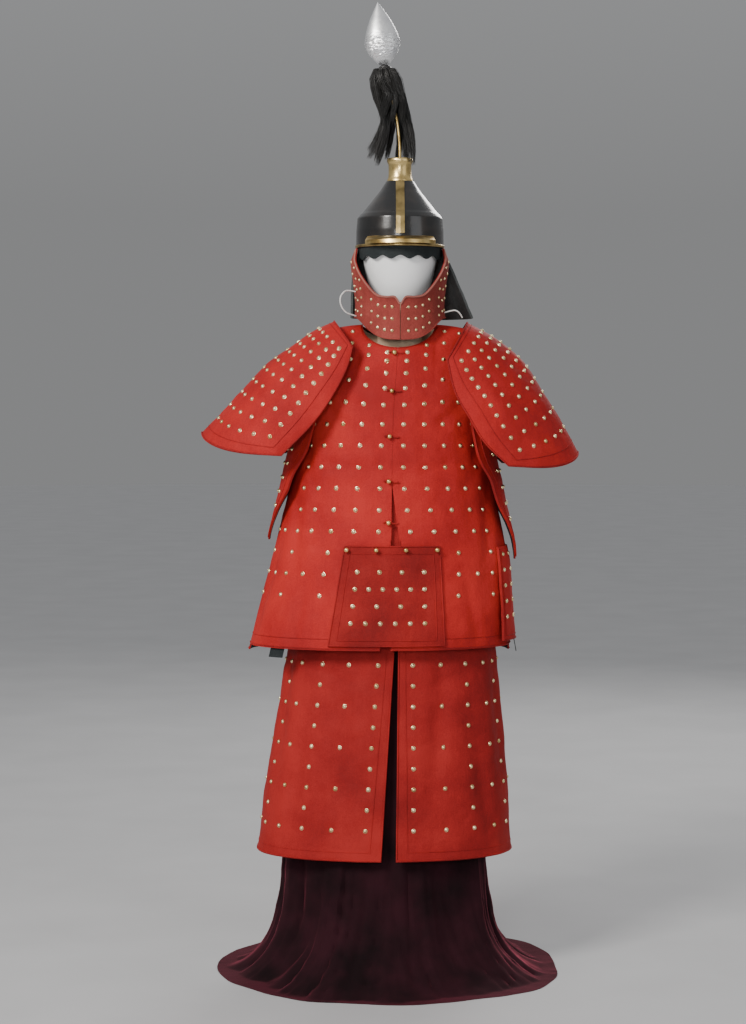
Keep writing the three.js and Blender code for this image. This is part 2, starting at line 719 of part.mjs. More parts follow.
// Closed body of rings, with strips closing its top and bottom
function formTorso() {
  const loop = [];
  for (let k = 0; k <= QUARTER_COLUMNS; k += 1) loop.push(["front", 1, k / QUARTER_COLUMNS]);
  for (let k = QUARTER_COLUMNS; k >= 0; k -= 1) loop.push(["back", 1, k / QUARTER_COLUMNS]);
  for (let k = 1; k <= QUARTER_COLUMNS; k += 1) loop.push(["back", -1, k / QUARTER_COLUMNS]);
  for (let k = QUARTER_COLUMNS; k >= 1; k -= 1) loop.push(["front", -1, k / QUARTER_COLUMNS]);
  const everyRow = evenly(LEVEL_ROWS + ROLLED_ROWS);
  const up = everyRow.filter((t, j) => j % 3 === 0 || t > CHEST_SHARE - 0.1);
  const SIDE_HALF = 3;
  const points = up.flatMap((t) =>
    loop.map(([face, side, s]) => {
      const p = bodyPoint(FORM, face, side, s, t);
      p.y = face === "front" ? Math.min(p.y, -SIDE_HALF) : Math.max(p.y, SIDE_HALF);
      return p;
    }),
  );
  const size = loop.length;
  const faces = [];
  for (let j = 0; j < up.length - 1; j += 1) {
    for (let i = 0; i < size; i += 1) {
      const [a, b] = [j * size + i, j * size + ((i + 1) % size)];
      faces.push([a, b, b + size], [a, b + size, a + size]);
    }
  }
  const half = 2 * QUARTER_COLUMNS + 1;
  const mirror = (i) => (half - i + size) % size;
  for (const [row, flip] of [[0, true], [up.length - 1, false]]) {
    const at = (i) => row * size + ((i + size) % size);
    for (let i = -QUARTER_COLUMNS; i < QUARTER_COLUMNS; i += 1) {
      const [a, b, c, d] = [at(i), at(i + 1), at(mirror(i + 1)), at(mirror(i))];
      faces.push(flip ? [a, c, b] : [a, b, c], flip ? [a, d, c] : [a, c, d]);
    }
  }
  return geometryOf(points, faces);
}

// A solid of revolution about +Z, from [radius, height] pairs
function lathe(profile, segments) {
  const turned = profile.map(([radius, z]) => new THREE.Vector2(radius, z));
  const geometry = new THREE.LatheGeometry(turned, segments).rotateX(QUARTER);
  geometry.deleteAttribute("normal");
  geometry.deleteAttribute("uv");
  return facedOut(mergeVertices(geometry, 1e-3));
}

const cylinder = (radius, bottom, top) =>
  lathe([[0, bottom], [radius, bottom], [radius, top], [0, top]], 24);

function dressForm() {
  const neckBottom = NECK_SIDE_Z - 60;
  const neck = cylinder(NECK_RADIUS, neckBottom, NECK_TOP).translate(HEAD_X, 0, 0);
  return joined([formTorso(), neck]);
}

const skullRadius = (z) => {
  const above = Math.max(SKULL.findIndex((row) => row.z >= z), 1);
  const [a, b] = [SKULL[above - 1], SKULL[above]];
  return lerp(a.radius, b.radius, clamp01((z - a.z) / (b.z - a.z)));
};

function helmetSkull() {
  const outer = SKULL.map((row) => [row.radius, row.z]);
  const inner = SKULL.map((row) => [row.radius - SKULL_WALL, row.z]).reverse();
  inner[0][1] -= SKULL_WALL;
  return lathe([...outer, [0, SKULL.at(-1).z], [0, inner[0][1]], ...inner, outer[0]], HELMET_SEGMENTS);
}

// White head block: an egg whose flat top pad meets the inside of the bowl
function headBlock() {
  const side = HEAD.map((row) => [row.radius, row.z]);
  const pad = [1698, 1710, HEAD_PAD_TOP].map((z) => [skullRadius(z) - SKULL_WALL - 0.7, z]);
  return lathe([[0, HEAD[0].z], ...side, ...pad, [0, HEAD_PAD_TOP]], HELMET_SEGMENTS);
}

function helmetLining() {
  const { radius, wall, top, bottom, scallop, scallops } = LINING;
  const point = (s, t) => {
    const turn = s * 4 * QUARTER;
    const low = bottom + scallop * Math.cos(turn * scallops);
    return V3(HEAD_X + radius * Math.sin(turn), -radius * Math.cos(turn), lerp(low, top, t));
  };
  return clothWall({
    columns: 2 * scallops,
    rows: 1,
    thick: wall,
    point,
    inside: V3(HEAD_X, 0, top),
    round: true,
  });
}

// Raised brass strip that follows the bowl's profile from rim to collar
function helmetStrip(face) {
  const heights = [STRIP.from, ...SKULL.map((row) => row.z).filter((z) => z > STRIP.from)];
  const span = heights.at(-1) - STRIP.from;
  const point = (s, t) => {
    const z = STRIP.from + span * t;
    const x = STRIP.width * (s - 0.5);
    const ridge = STRIP.thick * (1.35 - Math.abs(2 * s - 1) * 0.35);
    return V3(HEAD_X + x, face * (skullRadius(z) + LAID_ON + ridge), z);
  };
  return clothWall({
    columns: 2,
    rows: heights.map((z) => (z - STRIP.from) / span),
    thick: STRIP.thick * 0.9,
    point,
    inside: V3(HEAD_X, 0, STRIP.from),
  });
}

// Brass brim over the brow: a sloping shelf with a turned-down lip
function helmetVisor() {
  const root = skullRadius(VISOR.top) + SEAT;
  const section = [
    { out: 3, z: VISOR.top },
    { out: VISOR.reach * 0.55, z: VISOR.top - VISOR.slope * 0.4 },
    { out: VISOR.reach, z: VISOR.top - VISOR.slope },
    { out: VISOR.reach + 1, z: VISOR.top - VISOR.lip },
  ];
  const point = (s, t) => {
    const turn = radians(VISOR.spread * (2 * s - 1));
    const place = t * (section.length - 1);
    const k = Math.min(Math.floor(place), section.length - 2);
    const out = lerp(section[k].out, section[k + 1].out, place - k);
    const z = lerp(section[k].z, section[k + 1].z, place - k);
    const taper = Math.cos(turn * 1.5);
    const radius = root + Math.max(out * taper, 3);
    return V3(HEAD_X + radius * Math.sin(turn), -radius * Math.cos(turn), z);
  };
  return clothWall({ columns: 10, rows: 3, thick: VISOR.thick, point, inside: V3(HEAD_X, 0, 1500) });
}

function helmetCollar() {
  const { bottom, top, waist, lip, lipHeight } = COLLAR;
  const profile = [
    [0, bottom],
    [waist + 3, bottom],
    [waist + 3, bottom + 5],
    [waist, bottom + 12],
    [waist, top - lipHeight - 4],
    [lip, top - lipHeight],
    [lip, top - 1],
    [lip - 1, top],
    [0, top],
  ];
  return lathe(profile, 18);
}

// One ear guard: from the chin, where the two meet under a notch, back past the ear
function earGuard(side) {
  const last = EAR_EDGES.at(-1).turn;
  const columns = EAR_EDGES.map((row) => (row.turn - EAR_EDGES[0].turn) / (last - EAR_EDGES[0].turn));
  const point = (s, t) => {
    const turn = lerp(EAR_EDGES[0].turn, last, s);
    const edge = rowAt(EAR_EDGES, "turn", turn);
    const z = lerp(edge.bottom, Math.min(edge.top, HELMET_RIM_Z - SEAT), t);
    const radius = rowAt(CURTAIN, "z", z).radius;
    return V3(HEAD_X + side * radius * Math.sin(radians(turn)), -radius * Math.cos(radians(turn)), z);
  };
  return clothWall({
    columns,
    rows: EAR_ROWS,
    thick: CURTAIN_CLOTH,
    point,
    inside: V3(HEAD_X, 0, 1500),
    seam: (n, s) => {
      if (s === 0) n.x = 0;
    },
  });
}

function napeGuard() {
  const point = (s, t) => {
    const turn = lerp(NAPE.from, NAPE.to, s);
    const z = lerp(NAPE.bottom, HELMET_RIM_Z - SEAT, t);
    const flare = rowAt(NAPE_FLARE, "turn", turn).out * (1 - t) ** 1.2;
    const radius = lerp(104, 98.4, t) + flare + 5 * Math.sin(t * Math.PI);
    return V3(HEAD_X + radius * Math.sin(radians(turn)), -radius * Math.cos(radians(turn)), z);
  };
  return clothWall({
    columns: NAPE.columns,
    rows: NAPE.rows,
    thick: CURTAIN_CLOTH,
    point,
    inside: V3(HEAD_X, 0, 1540),
  });
}

function tube(points, radius, sides) {
  const path = new THREE.CatmullRomCurve3(points);
  const ring = evenly(sides).slice(0, -1).map((k) => {
    const turn = k * 4 * QUARTER;
    return new THREE.Vector2(radius * Math.cos(turn), radius * Math.sin(turn));
  });
  return new THREE.ExtrudeGeometry(new THREE.Shape(ring), {
    steps: 2 * (points.length - 1),
    extrudePath: path,
  });
}

// Hair plume: tapering locks fused into a small hub at the head of the rod
function plume() {
  const hubProfile = [
    [0, HUB.bottom],
    [HUB.radius - 5, HUB.bottom],
    [HUB.radius, HUB.bottom + 10],
    [HUB.radius, HUB.top - 9],
    [HUB.radius - 6, HUB.top],
    [0, HUB.top],
  ];
  const hub = lathe(hubProfile, 14).translate(HUB.x, 0, 0);
  const locks = LOCK_RINGS.flatMap((ring, k) =>
    evenly(ring.count).slice(0, -1).map((share, i) => {
      const turn = (share + 0.03 * k) * 4 * QUARTER;
      const length = ring.length * (1 - 0.12 * ((i * 3) % 4) / 3);
      return hairLock(ring, turn, length);
    }),
  );
  return joined([hub, ...locks]);
}

function hairLock(ring, turn, length) {
  const points = [];
  const faces = [];
  const steps = LOCK_PATH.length - 1;
  LOCK_PATH.forEach((row, j) => {
    const reach = ring.reach * row.reach;
    const centre = V3(
      HUB.x + row.drift + reach * Math.sin(turn),
      -reach * Math.cos(turn),
      HUB.top - 9 - length * row.down,
    );
    const thick = ring.thick * (1 - 0.62 * row.down ** 2);
    for (let k = 0; k < LOCK_SIDES; k += 1) {
      const spin = turn + (k / LOCK_SIDES) * 4 * QUARTER;
      points.push(centre.clone().add(V3(thick * Math.sin(spin), -thick * Math.cos(spin), 0)));
    }
    if (j === steps) return;
    for (let k = 0; k < LOCK_SIDES; k += 1) {
      const [a, b] = [j * LOCK_SIDES + k, j * LOCK_SIDES + ((k + 1) % LOCK_SIDES)];
      faces.push([a, b, b + LOCK_SIDES], [a, b + LOCK_SIDES, a + LOCK_SIDES]);
    }
  });
  const end = steps * LOCK_SIDES;
  faces.push([0, 2, 1], [end, end + 1, end + 2]);
  return geometryOf(points, faces);
}

function finial() {
  const { height, flatten, tilt } = FINIAL;
  const profile = FINIAL_PROFILE.map((row) => [row.radius, row.up * height]);
  return lathe([[0, 0], ...profile, [0, height]], 16).scale(1, flatten, 1).rotateY(radians(-tilt));
}

function ball(centre) {
  const geometry = new THREE.OctahedronGeometry(BUTTON_RADIUS, 1);
  geometry.deleteAttribute("normal");
  geometry.deleteAttribute("uv");
  return facedOut(mergeVertices(geometry, 1e-3)).translate(centre.x, centre.y, centre.z);
}

const armour = new THREE.Group();
const materials = Object.fromEntries(
  Object.entries(MATERIALS).map(([name, look]) => [name, new THREE.MeshStandardMaterial(look)]),
);

function piece(name, geometry, material, place = V3(0, 0, 0)) {
  const mesh = new THREE.Mesh(geometry, materials[material]);
  mesh.name = name;
  mesh.position.copy(place);
  armour.add(mesh);
}

// Stand
piece("stand_base", cylinder(BASE.radius, 0, BASE.height), "steel");
piece("stand_post", cylinder(POST_RADIUS, BASE.height + SEAT, FORM_BOTTOM - SEAT), "steel");
piece("dress_form", dressForm(), "linen");
piece("head_block", headBlock(), "white", V3(HEAD_X, 0, 0));
piece("stand_drape", drapeCover(), "velvet");

// Jacket; the studs that its flaps and guards cover are left out
const underFlap = (i, j) => i < 3 && j < 6;
const underGuards = (i, j) => (i > 3 && j > 13) || (i > 4 && j > 5);
const coveredFront = (i, j) => hemOrTop(j) || underFlap(i, j) || underGuards(i, j);
piece("jacket_front_right", jacketFront(-1, coveredFront), "red");
piece("jacket_front_left", jacketFront(1, (i, j) => coveredFront(i, j) || i > 4), "red");
piece("jacket_back", jacketBack(), "red");
piece("front_flap", frontFlap(), "red");
piece("side_flap", sideFlap(), "red");
[78, 98].forEach((turn, i) => piece(`side_flap_tie_${i + 1}`, flapTie(turn), "lining"));

// Ball buttons down the front opening and along the top of the front flap
const BUTTON_HEIGHTS = [1384, 1300, 1200, 1102, 1012];
BUTTON_HEIGHTS.forEach((z, i) => {
  const onLevel = z <= CHEST_Z;
  const share = (CHEST_SHARE * (z - JACKET.hem.front)) / (CHEST_Z - JACKET.hem.front);
  const lift = topOf(JACKET, "front", 0).z - CHEST_Z;
  const rolled = CHEST_SHARE + (1 - CHEST_SHARE) * (Math.asin(clamp01((z - CHEST_Z) / lift)) / QUARTER);
  const p = bodyPoint(JACKET, "front", -1, 0, onLevel ? share : rolled);
  piece(`jacket_button_${i + 1}`, ball(V3(p.x - 7, p.y - BUTTON_RADIUS - SEAM - SEAT / 2, z)), "brass");
});
[-0.94, -0.33, 0.28, 0.92].forEach((share, i) => {
  const z = FRONT_FLAP.top - 9;
  const x = FRONT_FLAP.topMid + FRONT_FLAP.topHalf * share;
  const row = rowAt(JACKET.rows, "z", z);
  const turn = THREE.MathUtils.radToDeg(Math.asin((x - row.lean) / row.half));
  const off = SEAM + LAID_ON + PADDED_CLOTH + SEAT + BUTTON_RADIUS;
  piece(`flap_button_${i + 1}`, ball(ringPoint(JACKET.rows, z, Math.abs(turn), Math.sign(turn), off)), "brass");
});

for (const [name, side] of [["right", -1], ["left", 1]]) {
  piece(`shoulder_guard_${name}`, shoulderGuard(GUARD_SIDES[name]), "red");
  piece(`armpit_guard_${name}`, armpitGuard(side, ARMPIT_SIDES[name]), "red");
  piece(`skirt_${name}`, skirtPanel(side, SKIRT_FRONT_EDGE[name]), "red");
  piece(`ear_guard_${name}`, earGuard(side), "rust");
  const route = TIE_ROUTES[name].map(([x, y, z]) => V3(x, y, z));
  piece(`tie_cord_${name}`, tube(route, TIE_RADIUS, 8), "white");
}

// Helmet
piece("helmet_skull", helmetSkull(), "lacquer", V3(HEAD_X, 0, 0));
piece("helmet_lining", helmetLining(), "lining");
piece("helmet_strip_front", helmetStrip(-1), "brass");
piece("helmet_strip_back", helmetStrip(1), "brass");
piece("helmet_visor", helmetVisor(), "brass");
piece("helmet_collar", helmetCollar(), "brass", V3(HEAD_X, 0, 0));
piece("nape_guard", napeGuard(), "rust");
piece("plume_rod", tube(ROD_POINTS.map(({ x, z }) => V3(x, 0, z)), ROD_RADIUS, 8), "brass");
piece("plume", plume(), "hair");
piece("finial", finial(), "silver", V3(HUB.x - 1, 0, FINIAL.bottom + 1.3));

export default armour;
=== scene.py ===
import math
import random

import bpy
import numpy as np
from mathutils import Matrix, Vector, noise


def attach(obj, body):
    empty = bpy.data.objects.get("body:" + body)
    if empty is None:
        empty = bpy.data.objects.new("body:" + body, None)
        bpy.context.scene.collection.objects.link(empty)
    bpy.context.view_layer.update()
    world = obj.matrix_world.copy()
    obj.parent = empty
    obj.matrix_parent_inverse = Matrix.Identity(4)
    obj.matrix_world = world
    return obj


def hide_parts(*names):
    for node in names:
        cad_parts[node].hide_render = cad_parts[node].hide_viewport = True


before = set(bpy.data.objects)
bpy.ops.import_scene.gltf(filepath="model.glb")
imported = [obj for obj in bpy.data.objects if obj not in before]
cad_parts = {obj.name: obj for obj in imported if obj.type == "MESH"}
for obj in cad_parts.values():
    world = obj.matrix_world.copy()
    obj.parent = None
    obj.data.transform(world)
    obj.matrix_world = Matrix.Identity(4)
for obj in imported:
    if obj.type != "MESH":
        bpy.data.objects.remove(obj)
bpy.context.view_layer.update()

MM = 0.001
DETAIL = 1.0
SEED = 7

# Sizes in millimetres. The cloth and the body are as the solids have them.
PADDED_CLOTH = 3.6
CURTAIN_CLOTH = 3
VELVET = 2.4
SEAM = 0.2
LAID_ON = 0.8
SEAT = 0.45
STUD_RADIUS = 4.6
SMALL_STUD_RADIUS = 3.1
BUTTON_RADIUS = 5.5
PUCKER_RADIUS = 13
PUCKER_DEPTH = 1.3
FOLD_DEPTH = 11
CREASE_STRENGTH = 1.6
QUARTER = math.pi / 2
QUARTER_COLUMNS = 7
LEVEL_ROWS = 11
ROLLED_ROWS = 6
BODY_ROWS = LEVEL_ROWS + ROLLED_ROWS
CHEST_SHARE = LEVEL_ROWS / BODY_ROWS
SQUARENESS = 0.85
CHEST_Z = 1250
ARMPIT_Z = 1200
NECK_SIDE_Z = 1448
SHOULDER_HALF = 190
NECK_HALF = SHOULDER_HALF * math.sin(2 / QUARTER_COLUMNS * QUARTER)
SHOULDER_SLOPE = 0.05
SHOULDER_ROUND = 0.00125
HEAD_X = 22
HELMET_RIM_Z = 1618


def table(columns, *rows):
    """Rows of numbers as dicts with the named columns."""
    names = columns.split()
    return [dict(zip(names, row)) for row in rows]


JACKET = dict(
    hem=dict(front=735, back=720),
    neck=dict(front=(54, 95), back=(14, 62)),
    seam_half=0,
    lower=0,
    armhole_half=48,
    rows=table(
        "z half front back lean",
        (700, 298, 190, 175, -27),
        (735, 293, 186, 170, -23),
        (845, 278, 174, 158, -10),
        (950, 260, 160, 147, 1),
        (1060, 236, 145, 136, 3),
        (1160, 217, 131, 127, 4),
        (1250, 204, 121, 120, 7),
        (1340, 194, 115, 115, 13),
        (1448, 190, 110, 110, 20),
    ),
)
FORM = dict(
    hem=dict(front=880, back=880),
    neck=dict(front=(68, 78), back=(22, 50)),
    seam_half=3,
    lower=5.9,
    armhole_half=0,
    rows=table(
        "z half front back lean",
        (880, 165, 112, 108, -6),
        (960, 165, 112, 108, -4),
        (1060, 174, 108, 108, 1),
        (1160, 186, 107, 107, 4),
        (1250, 192, 108, 108, 7),
        (1340, 184, 98, 98, 13),
        (1448, 183, 92, 92, 20),
    ),
)
SPREAD = dict(start=1100, end=950, share=0.05)
SKIRT_HEM = 272
SKIRT_WAIST = 950
SKIRT_STUD_PITCH = 45
SKIRT_STUD_ROWS = 10
SKIRT_COLUMNS = 11
WAIST_OUT = 2.6 + PADDED_CLOTH
SKIRT = table(
    "z half front back lean",
    (272, 289, 190, 180, -13),
    (400, 276, 181, 172, -8),
    (550, 258, 169, 161, -3),
    (735, 233, 151, 145, 4),
    (860, 204, 134, 130, 0),
    (950, 165 + WAIST_OUT, 112 + WAIST_OUT, 108 + WAIST_OUT, -4),
)
SKIRT_EDGE = {-1: dict(top=8, bottom=-20), 1: dict(top=17, bottom=12)}
SKIRT_BACK_EDGE = 8
DRAPE = table(
    "t z half front back lean fold",
    (0, 2.6, 383, 344, 352, 0, 7),
    (0.1, 7, 352, 320, 318, 0, 9),
    (0.2, 30, 308, 270, 266, 0, 10),
    (0.3, 75, 268, 216, 214, -2, 10),
    (0.42, 150, 244, 180, 178, -4, 8),
    (0.56, 270, 233, 164, 162, -6, 6),
    (0.74, 500, 216, 150, 148, -4, 3),
    (0.88, 735, 192, 128, 126, 0, 1),
    (1, 915, 168.9, 115.9, 111.9, -5, 0),
)
DRAPE_FOLDS = table(
    "turn half out",
    (4, 15, 1.2), (30, 12, -1), (55, 14, 1.1), (92, 20, -1.3), (128, 18, 1.4), (165, 20, -1.1),
    (200, 18, 1.2), (238, 18, -1.2), (270, 18, 1.1), (305, 16, -1.2), (333, 12, 1.3),
)
GUARD_STUD_COLUMNS = 14
GUARD_STUD_ROWS = 12
GUARD_BULGE = 20
GUARD_RIDGES = {
    -1: table(
        "along x z",
        (0, -123, 1456), (0.16, -170, 1434.4), (0.32, -214, 1405), (0.52, -276, 1362),
        (0.74, -342, 1292), (0.9, -394, 1237), (1, -423, 1206),
    ),
    1: table(
        "along x z",
        (0, 171, 1453), (0.14, 210, 1433), (0.3, 250, 1409), (0.5, 298, 1368),
        (0.72, 346, 1298), (0.9, 397, 1212), (1, 423, 1162),
    ),
}
GUARD_EDGES = {
    -1: table(
        "along x y z",
        (0, -82, 118, 1396), (0.25, -97, 130, 1343), (0.5, -130, 138, 1281),
        (0.75, -172, 141, 1224), (1, -238, 136, 1157),
    ),
    1: table(
        "along x y z",
        (0, 124, 116, 1368), (0.25, 140, 130, 1297), (0.5, 171, 139, 1240),
        (0.75, 206, 141, 1184), (1, 258, 136, 1135),
    ),
}
ARMPIT_COLUMNS = 6
ARMPIT_ROWS = 9
ARMPIT_TIPS = {-1: 968, 1: 924}
ARMPIT_SHAPE = table(
    "down spread off",
    (0, 3 / QUARTER_COLUMNS * 90, 12), (0.12, 37, 9), (0.3, 36, 14), (0.46, 29, 17), (0.6, 26, 18),
    (0.76, 17, 18), (0.9, 9, 17), (1, 2.5, 16),
)
FLAP = dict(top=962, bottom=744, top_half=104, bottom_half=128, top_mid=4, bottom_mid=-9)
SIDE_FLAP = dict(top=956, bottom=748, spread=2 / QUARTER_COLUMNS * 90, flare=9)
SKULL = table(
    "z radius",
    (1618, 98), (1655, 97.5), (1684, 95), (1693, 88), (1696, 84), (1722, 63), (1746, 44),
    (1766, 31),
)
SKULL_WALL = 3
CURTAIN = table(
    "z radius",
    (1400, 107), (1440, 104), (1490, 101), (1540, 105), (1585, 110), (1605, 104), (1618, 98.4),
)
RIM = HELMET_RIM_Z - SEAT
EAR_EDGES = table(
    "turn top bottom",
    (0.4, 1491, 1412), (6, 1507, 1412), (18, 1508, 1414), (31, 1513, 1422), (44, 1534, 1436),
    (57, 1562, 1452), (68, 1596, 1459), (78, RIM, 1461), (98, RIM, 1462),
)
NAPE = dict(start=99, end=258, bottom=1463)
NAPE_FLARE = table("turn out", (90, 66), (130, 52), (190, 26), (260, 8))
ROD = table("x z", (22, 1817.3), (21, 1850), (14, 1910), (0, 1965), (-9, 1989))
HUB = dict(x=-11, hair_top=2015)
LOCK_PATH = table(
    "down reach drift",
    (0, 0.7, 0), (0.07, 0.98, 1), (0.32, 1.04, 9), (0.56, 1, 23), (0.78, 1.3, 23), (1, 1.62, 14),
)
FINIAL = dict(x=-12, bottom=2025.6, height=138, tilt=6.5, flatten=0.72)
FINIAL_PROFILE = table(
    "up radius",
    (0, 12), (0.07, 21), (0.2, 34), (0.34, 39), (0.52, 34), (0.7, 24), (0.86, 12), (1, 0.4),
)
PLUME_CLUMPS = 11
PLUME_REACH = 35
TIE_RADIUS = 1.6
TIES = dict(
    right=table(
        "x y z",
        (-75.9, -31.4, 1466), (-98, -44, 1474), (-109, -50, 1490), (-110, -50, 1507),
        (-102, -46, 1519), (-93, -40, 1522), (-76.8, -33.4, 1520),
    ),
    left=table(
        "x y z",
        (121, -25.9, 1474), (137, -30, 1478), (147, -30, 1478), (155, -26, 1472), (161, -20, 1463),
    ),
)

# Creases: middle on the panel (s, t), half length, half width, slant from level in degrees, depth
FRONT_CREASES = table(
    "s t long wide slant deep",
    (0.72, 0.56, 90, 16, 62, 2.6),
    (0.5, 0.66, 70, 13, 38, 1.8),
    (0.62, 0.3, 120, 18, 82, 2.8),
    (0.84, 0.16, 100, 15, 96, 3.0),
    (0.3, 0.5, 60, 12, 12, 1.5),
    (0.46, 0.1, 80, 14, 100, 2.4),
)
BACK_CREASES = table(
    "s t long wide slant deep",
    (0.2, 0.5, 100, 17, 70, 2.6),
    (0.78, 0.54, 90, 15, 110, 2.4),
    (0.36, 0.24, 120, 18, 86, 2.8),
    (0.64, 0.18, 110, 16, 95, 3.0),
    (0.5, 0.62, 80, 14, 8, 1.6),
    (0.12, 0.14, 90, 15, 98, 2.8),
)
SKIRT_CREASES = table(
    "s t long wide slant deep",
    (0.12, 0.42, 150, 20, 84, 3.4),
    (0.27, 0.24, 120, 22, 96, 3.8),
    (0.4, 0.5, 160, 24, 88, 4.0),
    (0.55, 0.3, 130, 20, 93, 3.6),
    (0.7, 0.45, 150, 24, 85, 3.8),
    (0.86, 0.22, 110, 18, 97, 3.4),
    (0.2, 0.6, 60, 12, 15, 1.8),
)
GUARD_CREASES = table(
    "s t long wide slant deep",
    (0.22, 0.6, 70, 14, 70, 2.0),
    (0.36, 0.4, 80, 15, 96, 1.8),
    (0.68, 0.55, 80, 14, 84, 2.0),
)


def clamp01(value):
    return min(max(value, 0.0), 1.0)


def mix(a, b, share):
    return a + (b - a) * share


def steps(count):
    return [i / count for i in range(count + 1)]


def fine(count):
    return max(2, int(count * DETAIL))


def row_at(rows, key, value):
    """A table's row at any value of its key column, on a smooth curve through the rows."""
    last = len(rows) - 1
    i = 0
    while i < last - 1 and value > rows[i + 1][key]:
        i += 1
    a, b = rows[i], rows[i + 1]
    before, after = rows[max(i - 1, 0)], rows[min(i + 2, last)]
    span = b[key] - a[key]
    t = clamp01((value - a[key]) / span)
    row = {}
    for name in a:
        slope_a = (b[name] - before[name]) / (b[key] - before[key]) * span
        slope_b = (after[name] - a[name]) / (after[key] - a[key]) * span
        cubic = 2 * a[name] - 2 * b[name] + slope_a + slope_b
        square = -3 * a[name] + 3 * b[name] - 2 * slope_a - slope_b
        row[name] = ((cubic * t + square) * t + slope_a) * t + a[name]
    return row


def straight_at(rows, key, value, name):
    """A column's value on straight lines between the rows."""
    keys = [row[key] for row in rows]
    return float(np.interp(value, keys, [row[name] for row in rows]))


# Surfaces, the same as the solids' outer faces


def top_of(body, face, across):
    x = SHOULDER_HALF * across
    past = max(x - NECK_HALF, 0)
    line = NECK_SIDE_Z - SHOULDER_SLOPE * past - SHOULDER_ROUND * past * past
    hollow = math.sqrt(1 - (x / NECK_HALF) ** 2) if x < NECK_HALF else 0
    drop, depth = body["neck"][face]
    return line - drop * hollow - body["lower"], max(depth * hollow, body["seam_half"])


def body_point(body, face, side, s, t):
    across = math.sin(s * QUARTER)
    out = max(math.cos(s * QUARTER), 0) ** SQUARENESS
    top_z, top_y = top_of(body, face, across)
    roll = max((t - CHEST_SHARE) / (1 - CHEST_SHARE), 0) * QUARTER
    hem = body["hem"][face]
    level = hem + (CHEST_Z - hem) * min(t / CHEST_SHARE, 1)
    z = level + (top_z - CHEST_Z) * math.sin(roll)
    row = row_at(body["rows"], "z", z)
    opening = clamp01((z - ARMPIT_Z) / (top_z - ARMPIT_Z))
    armhole = body["armhole_half"] * math.sin(opening * math.pi)
    depth = armhole + (row[face] - armhole) * out
    y = top_y + (depth - top_y) * math.cos(roll)
    return (row["lean"] + side * row["half"] * across, -y if face == "front" else y, z)


def on_ring(row, turn):
    sine, cosine = math.sin(math.radians(turn)), math.cos(math.radians(turn))
    depth = row["front"] if cosine > 0 else row["back"]
    return row["half"] * sine, -depth * math.copysign(abs(cosine) ** SQUARENESS, cosine)


def ring_point(row, z, turn, side, off):
    x0, y0 = on_ring(row, turn - 0.5)
    x1, y1 = on_ring(row, turn + 0.5)
    length = math.hypot(x1 - x0, y1 - y0)
    x, y = on_ring(row, turn)
    x += (y1 - y0) / length * off
    y -= (x1 - x0) / length * off
    return (row["lean"] + side * x, y, z)


def jacket_ring(z, turn, side, off):
    return ring_point(row_at(JACKET["rows"], "z", z), z, turn, side, off)


def turn_of(x, row, side=1):
    return math.degrees(math.asin(side * (x - row["lean"]) / row["half"]))


def jacket_front(side):
    def point(s, t):
        z = body_point(JACKET, "front", side, s, t)[2]
        gap = (SPREAD["start"] - z) / (SPREAD["start"] - SPREAD["end"])
        start = SPREAD["share"] * clamp01(gap) if side > 0 else 0
        x, y, z = body_point(JACKET, "front", side, mix(start, 1, s), t)
        return (x + side * SEAM, y - SEAM, z)

    return point


def jacket_back(s, t):
    x, y, z = body_point(JACKET, "back", -1 if s < 0.5 else 1, abs(2 * s - 1), t)
    return (x, y + SEAM, z)


def front_flap(s, t):
    z = mix(FLAP["bottom"], FLAP["top"], t)
    middle = mix(FLAP["bottom_mid"], FLAP["top_mid"], t)
    x = middle + mix(FLAP["bottom_half"], FLAP["top_half"], t) * (2 * s - 1)
    turn = turn_of(x, row_at(JACKET["rows"], "z", z))
    return jacket_ring(z, abs(turn), math.copysign(1, turn), SEAM + LAID_ON + PADDED_CLOTH)


def side_flap(s, t):
    z = mix(SIDE_FLAP["bottom"], SIDE_FLAP["top"], t)
    turn = 90 + SIDE_FLAP["spread"] * (2 * s - 1)
    return jacket_ring(z, turn, 1, LAID_ON + PADDED_CLOTH + SIDE_FLAP["flare"] * (1 - t))


def flap_tie(turn):
    top = jacket_ring(SIDE_FLAP["bottom"], turn, 1, LAID_ON + SIDE_FLAP["flare"])

    def point(s, t):
        curl = 1.5 * math.sin(3 * (1 - t) + turn)
        return (
            top[0] + 4 + 5 * (1 - t),
            top[1] + 11 * (s - 0.5) + curl,
            SIDE_FLAP["bottom"] - SEAT - 26 * (1 - t),
        )

    return point


def armpit_guard(side):
    def point(s, t):
        row = row_at(ARMPIT_SHAPE, "down", 1 - t)
        out = 2 * s - 1
        flare = 8 * abs(out) * (1 - t) * t * 4
        z = mix(ARMPIT_TIPS[side], CHEST_Z, t)
        return jacket_ring(z, 90 + row["spread"] * out, side, row["off"] + PADDED_CLOTH + flare)

    return point


def shoulder_guard(side):
    def point(s, t):
        over = (2 * s - 1) * QUARTER
        top = row_at(GUARD_RIDGES[side], "along", t)
        low = row_at(GUARD_EDGES[side], "along", t)
        drop = 1 - math.cos(over)
        bulge = GUARD_BULGE * t * t * math.sin(2 * abs(over))
        z = mix(top["z"], low["z"], drop) - bulge
        return (mix(top["x"], low["x"], drop), low["y"] * math.sin(over), z)

    return point


